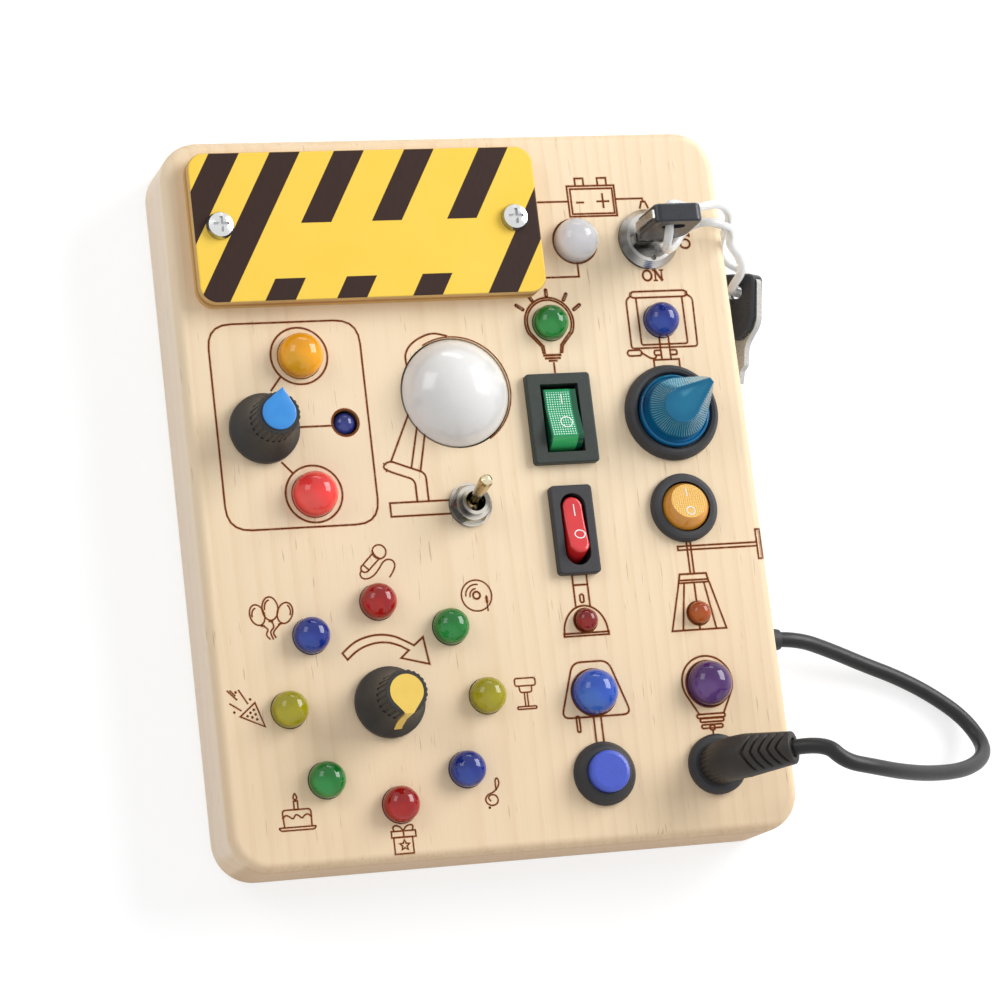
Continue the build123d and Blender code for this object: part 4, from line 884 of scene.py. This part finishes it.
def plug_grip():
    """The plug's body: a straight foot with fine upright ridges, an elbow, and a tapered boot whose upper and
    lower sides carry five V-shaped grooves, s = s0 + 1.9 k + 2.2 |turn| / 60 degrees."""
    elbow = PLUG_RISE + PLUG_BEND_R * PLUG_BEND
    end = elbow + PLUG_BOOT
    s = np.concatenate([[0.0], np.linspace(0.12, end - 0.25, 170), [end - 0.08, end, end, end - 0.05, end - 0.7]])
    r = np.where(s < elbow, 4.8, 4.75 - 1.15 * (s - elbow) / PLUG_BOOT)
    r[0], r[-5:] = 4.68, (3.5, 3.25, 2.6, 2.25, 2.05)
    turn = np.linspace(0, 2 * math.pi, 168, endpoint=False)[None]
    s, r = s[:, None], r[:, None]
    foot = np.clip((6.5 - s) / 4.0, 0, 1)
    ridge = np.abs(np.sin(turn * RIDGES)) ** 0.6 * foot
    away = np.degrees(np.minimum(*(np.abs(np.angle(way * np.exp(1j * turn))) for way in (1, -1))))
    cut = np.zeros_like(s + turn)
    for k in range(GROOVES):
        off = np.abs(s - (elbow - 0.4 + GROOVE_PITCH * k + 2.2 * away / 60)) / 0.36
        cut = np.maximum(cut, np.clip(1.5 * (1 - off), 0, 1) * np.clip((62 - away) / 6, 0, 1))
    cut[-5:] = 0
    r = r - 0.22 * (1 - ridge) * foot - 0.65 * cut
    lean = np.clip((s - PLUG_RISE) / PLUG_BEND_R, 0, PLUG_BEND)
    rest = np.clip(s - elbow, 0, None)
    x = PLUG_BEND_R * (1 - np.cos(lean)) + rest * math.sin(PLUG_BEND)
    z = np.minimum(s, PLUG_RISE) + PLUG_BEND_R * np.sin(lean) + rest * math.cos(PLUG_BEND)
    out, side = r * np.cos(turn), r * np.sin(turn)
    return np.stack([x - out * np.cos(lean), -side, z + out * np.sin(lean)], 2) + PLUG_FOOT


plug = piece("plug_grip", [(plug_grip(), True)], PLUG_BLACK, "plug", ("plug_body",), 42)
cord_line = spline_points("cord_line", CORD_ROUTE)
cord = piece("lead", [(tube(cord_line, 1.75, 20), True)], CORD_BLACK, None, ("plug_cord",), 50)
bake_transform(cord)

tether_line = spline_points("tether_line", TETHER_ROUTE)
tether = piece("key_tube", [(tube(tether_line, 1.0, 16), True)], TUBE, None, ("key_tether",), 50)
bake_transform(tether)

# ---- selector and pointer
RIB_STEPS, ARC_RIBS, SIDE_RIBS = 8, 47, 14      # points to a rib, and ribs round the grip's back and along a side
RIBS = ARC_RIBS + SIDE_RIBS + 1 + SIDE_RIBS
SELECTOR_AT, SELECTOR_TURN = (COLUMN_B, 14.6), 35.0
DIAL_AT, DIAL_TURN = (-47.9, 15.2), 77.0
KNOB_TOP = FACE + 14.7


def drop(r, apex, end, arc_ribs, side_ribs):
    """A circle of radius r with two tangents towards (apex, 0), cut square at x = end by one more rib. Points
    go round against the clock."""
    touch = math.acos(r / apex)
    side = np.array([r * math.cos(touch), r * math.sin(touch)])
    half = (apex - end) * side[1] / (apex - side[0])
    turn = np.linspace(touch, 2 * math.pi - touch, arc_ribs * RIB_STEPS, endpoint=False)
    along = np.linspace(0, 1, side_ribs * RIB_STEPS, endpoint=False)[:, None]
    across = np.linspace(-1, 1, RIB_STEPS, endpoint=False)
    corner = np.array([end, half])
    return np.concatenate([np.stack([r * np.cos(turn), r * np.sin(turn)], 1),
                           side * (1, -1) * (1 - along) + corner * (1, -1) * along,
                           np.stack([across * 0 + end, across * half], 1),
                           corner * (1 - along) + side * along])


def at_height(plan, z):
    return np.column_stack([plan, plan[:, 0] * 0 + z])


def placed(grid, at, turn):
    return spin(grid, turn) + (*at, 0)


def selector_grip():
    """A drop-shaped block with smooth upright walls. Round ribs, |sin| deep, run up the slopes from its
    shoulder to a smaller drop on top, which is slightly hollow."""
    outer = drop(7.0, 12.2, 9.6, ARC_RIBS, SIDE_RIBS)
    inner = drop(4.0, 11.2, 9.6, ARC_RIBS, SIDE_RIBS) - (1.3, 0)
    column = np.arange(len(outer))
    ridge = np.abs(np.sin(math.pi * column / RIB_STEPS))
    tip = (ARC_RIBS + SIDE_RIBS) * RIB_STEPS
    ridge[tip - 3:tip + RIB_STEPS + 3] = 1
    rows = [(0.0, 3.1, 0.0), (0.0, 4.2, 0.0), (0.02, 5.3, 0.0), (0.04, 5.5, 0.0), (0.09, 5.7, 0.3)]
    rows += [(0.09 + 0.85 * t, 5.7 + 4.6 * t, 1.0) for t in np.linspace(0.06, 1, 11)]
    rows += [(0.98, 10.42, 0.5), (1.03, 10.46, 0.1), (1.1, 10.46, 0.0)]
    grid = [at_height(outer * (1 - t) + inner * t, FACE + height + 0.2 * rib * (ridge - 1))
            for t, height, rib in rows]
    middle, rim = np.array([2.6, 0.0]), grid[-1][:, :2]
    grid += [at_height(middle + (rim - middle) * share, FACE + 10.46 - 0.15 * (1 - share ** 4))
             for share in (0.9, 0.7, 0.45, 0.2, 0.02)]
    return np.array(grid)


def selector_finish():
    """Clear blue plastic with painted light and shade: deeper on the left and in the foot's shade side, painted
    shade in the rib grooves, and painted highlights on the rib crests and along the far edge of the grip.
    """
    f = Finish("selector_plastic", Specular_IOR_Level=0.2, Coat_Weight=0.25, Coat_Roughness=0.03)
    a = math.radians(SELECTOR_TURN)
    x, y = f.x - SELECTOR_AT[0], f.y - SELECTOR_AT[1]
    along, across = x * math.cos(a) + y * math.sin(a), y * math.cos(a) - x * math.sin(a)
    wall = (1 - f.upright().over(0.3, 0.15)) * f.z.over(FACE + 3.5, 0.2)
    slope = f.z.over(FACE + 5.7, 0.1) * (1 - f.z.over(FACE + 10.3, 0.1))
    rib = ((f.uv(0) * RIBS).part() * math.pi).sine()
    colour = f.coats(
        tint(2, 30, 96),
        # painted shade: the dark base is left only on the grip's left, away from the light
        ((x * 0.8 - y * 0.35 + 9.0).over(2.2, 2.6), (0, 94, 130)),
        # painted light on the foot's lower side
        ((1 - f.z.over(FACE + 3.7, 0.5)) * (y * -1).over(2.0, 4.0), (0, 98, 150)),
        (wall * 0.45, (6, 84, 140)),
        # painted shade in the grooves between the ribs
        (slope * (1 - rib).over(0.45, 0.3) * 0.7, (0, 64, 112)),
        # painted highlights on the rib crests
        (slope * rib.over(0.8, 0.15) * 0.55, (70, 190, 214)),
        (f.noise(4.0, detail=2.0).over(0.5, 0.2) * 0.3, (8, 112, 146)),
        # painted highlight along the far edge of the grip
        (slope * across.over(1.2, 0.5) * along.over(0.4, 0.8) * 0.6, (120, 196, 222)))
    return f.paint(Base_Color=colour, Roughness=f.noise(1.5) * 0.06 + 0.05)


foot = [(0.1, 9.0), (4.0, 9.0), (4.0, FACE + 1.6), (8.3, FACE + 1.6), (8.3, FACE + 2.6), (8.22, FACE + 2.95),
        (8.0, FACE + 3.22), (7.75, FACE + 3.3), (7.55, FACE + 3.22), (7.4, FACE + 3.05), (0.1, FACE + 3.05)]
grip = placed(selector_grip(), SELECTOR_AT, SELECTOR_TURN)
piece("selector_grip", [(grip, True), (lathe(foot, 96, SELECTOR_AT), True)], selector_finish(), "selector",
      ("selector_knob",), 38)

pointer = drop(3.7, 5.75, 5.7, 12, 5)       # a thin bevelled drop on top of the knob
rows = ((0.97, -0.6), (0.97, 0.02), (1.0, 0.06), (1.0, 0.3), (0.98, 0.36), (0.93, 0.42), (0.5, 0.42), (0.05, 0.42))
pointer = np.array([at_height(pointer * share, KNOB_TOP + height) for share, height in rows])
piece("blue_knob_pointer", [(placed(pointer, DIAL_AT, DIAL_TURN), True)], BLUE_INLAY, "blue_knob",
      (), 30)

# ---- rockers
ROCK = math.radians(-12.0)          # how far each rocker leans at rest
GREEN_AT, RED_AT, AMBER_AT = (COLUMN_A, 14.3, 16.6), (19.9, -11.1, 16.6), (COLUMN_B, -7.4, 18.5)    # pivots
DOT_PITCH = 0.56


def rocker_finish(name, light, deep, at, pattern, **fixed):
    """Clear rocker plastic, paler where it is thin, with painted shade on the green one's side walls and a moulded
    pattern on its upper side.
    """
    f = Finish(name, **fixed)
    x, y = f.x - at[0], f.y - at[1]
    top = f.upright().over(0.9, 0.03)
    colour = f.mix(f.noise(3.0, detail=2.0), light, deep)
    if pattern == "dots":
        u, v = (x / DOT_PITCH).part() - 0.5, (y / DOT_PITCH).part() - 0.5
        dot = (1 - (u * u + v * v).root().over(0.3, 0.08)) * top * x.within(-3.3, 2.3) * y.within(-5.3, 5.9)
        sides = x.within(-3.45, 2.45, 0.06)
        ends = (1 - f.upright().over(0.75, 0.1)) * sides
        # painted shade: the side walls beyond the top's width are darkened
        colour = f.coats(colour, ((1 - sides) * 0.85, (16, 62, 46)), (dot * 0.9, (206, 250, 230)),
                         (ends * 0.8, (66, 190, 108)))
        f.emboss(dot, 0.05)
    if pattern == "hatch":
        mesh = (f.x * 12.5).sine() * 0.5 + (f.y * 12.5).sine() * 0.5
        colour = f.coats(colour, (mesh.over(0.1, 0.5) * top * 0.22, (252, 214, 130)),
                         ((1 - top) * 0.55, (214, 122, 22)))
        f.emboss(mesh * top, 0.02)
    if pattern == "plain":
        colour = f.coats(colour, ((1 - f.upright().over(0.7, 0.25)) * 0.7, (196, 16, 12)))
    return f.paint(Base_Color=colour, Roughness=f.noise(0.8) * 0.1 + 0.16)


dress(rocker_finish("green_rocker_plastic", tint(8, 156, 96), tint(4, 132, 80), GREEN_AT, "dots",
                    Specular_IOR_Level=0.3, Coat_Weight=0.3), "green_rocker")
dress(rocker_finish("amber_rocker_plastic", tint(232, 180, 74), tint(222, 166, 58), AMBER_AT, "hatch",
                    Coat_Weight=0.5), "amber_rocker")
RED = rocker_finish("red_rocker_plastic", tint(222, 62, 66), tint(210, 50, 56), RED_AT, "plain")


def rocker_marks(name, at, body, level, strokes, width):
    """I and O on a rocker. Each stroke lies on level(y), and all lean with the rocker about its pivot."""
    parts = []
    for path in strokes:
        strip = ribbon(path, width, 0.0)
        strip[..., 2] = level(strip[..., 1]) + 0.05
        parts.append(laid(leaned(strip, at)))
    piece(name, parts, MARK, body)


def green_level(y):
    """Height of the green rocker's two flat halves, which fall to a crease at y = 1."""
    return 3.782 + np.where(y > 1.0, (y - 1.0) * 0.7 / 4.635, (1.0 - y) * 0.7 / 6.635)


def red_level(y):
    """Height of the red rocker's hollow top, a parabola."""
    return 4.453 - 0.6 * (1 - np.minimum((y / 5.91) ** 2, 1))


def leaned(points, at):
    """Points about a rocker's pivot, turned by its lean at rest and put in place."""
    x, y, z = points[..., 0], points[..., 1], points[..., 2]
    return np.stack([x, y * math.cos(ROCK) - z * math.sin(ROCK), y * math.sin(ROCK) + z * math.cos(ROCK)], -1) + at


def slot_rocker():
    """A narrow rocker, round at both ends in plan, whose hollow top turns over softly into its walls."""
    half, run, low, fillet = 2.5, 4.55, -1.8, 0.55
    a = np.radians(np.arange(0, 180, 6))
    end = np.stack([half * np.cos(a), half * np.sin(a)], 1)
    y = np.linspace(run, -run, 12, endpoint=False)
    side = np.stack([y * 0 - half, y], 1)
    ring = np.concatenate([end + (0, run), side, -end - (0, run), -side])

    def inward(inset):
        return ring * (1 - inset / half, 1 - inset * 1.5 / (half + run))

    grid = [at_height(ring, low - 0.4), at_height(ring, low)]
    for k in range(6):
        plan = inward(0.04 * k)
        grid.append(at_height(plan, low + (red_level(plan[:, 1]) - fillet - low) * (k + 1) / 6))
    for b in np.radians((20, 40, 60, 75, 90)):
        plan = inward(0.2 + fillet * (1 - math.cos(b)))
        grid.append(at_height(plan, red_level(plan[:, 1]) + fillet * (math.sin(b) - 1)))
    rim = grid[-1][:, :2]
    for share in (0.85, 0.65, 0.45, 0.25, 0.05):
        plan = rim * (share, 1 - (1 - share) * 0.55)
        grid.append(at_height(plan, red_level(plan[:, 1])))
    return np.array(grid)


piece("red_rocker_grip", [(leaned(slot_rocker(), RED_AT), True)], RED, "red_rocker",
      ("red_rocker",), 50)
rocker_marks("green_marks", GREEN_AT, "green_rocker", green_level,
             [line(0.2, 2.4, 0.2, 3.5, 0.2, 4.6), arc(0.4, -2.2, 1.35, ry=1.3, step=15)], 0.26)
rocker_marks("red_marks", RED_AT, "red_rocker", red_level,
             [line(0.2, 2.2, 0.2, 3.1, 0.2, 4.0, 0.2, 4.8), arc(0.5, -2.3, 1.15, ry=1.0, step=15)], 0.27)
rocker_marks("amber_marks", AMBER_AT, "amber_rocker", lambda y: y * 0 + 3.7,
             [line(-0.2, 1.2, -0.2, 2.1, -0.2, 3.0), arc(0.0, -2.4, 0.95, step=15)], 0.24)

bpy.context.scene.view_settings.view_transform = "Standard"
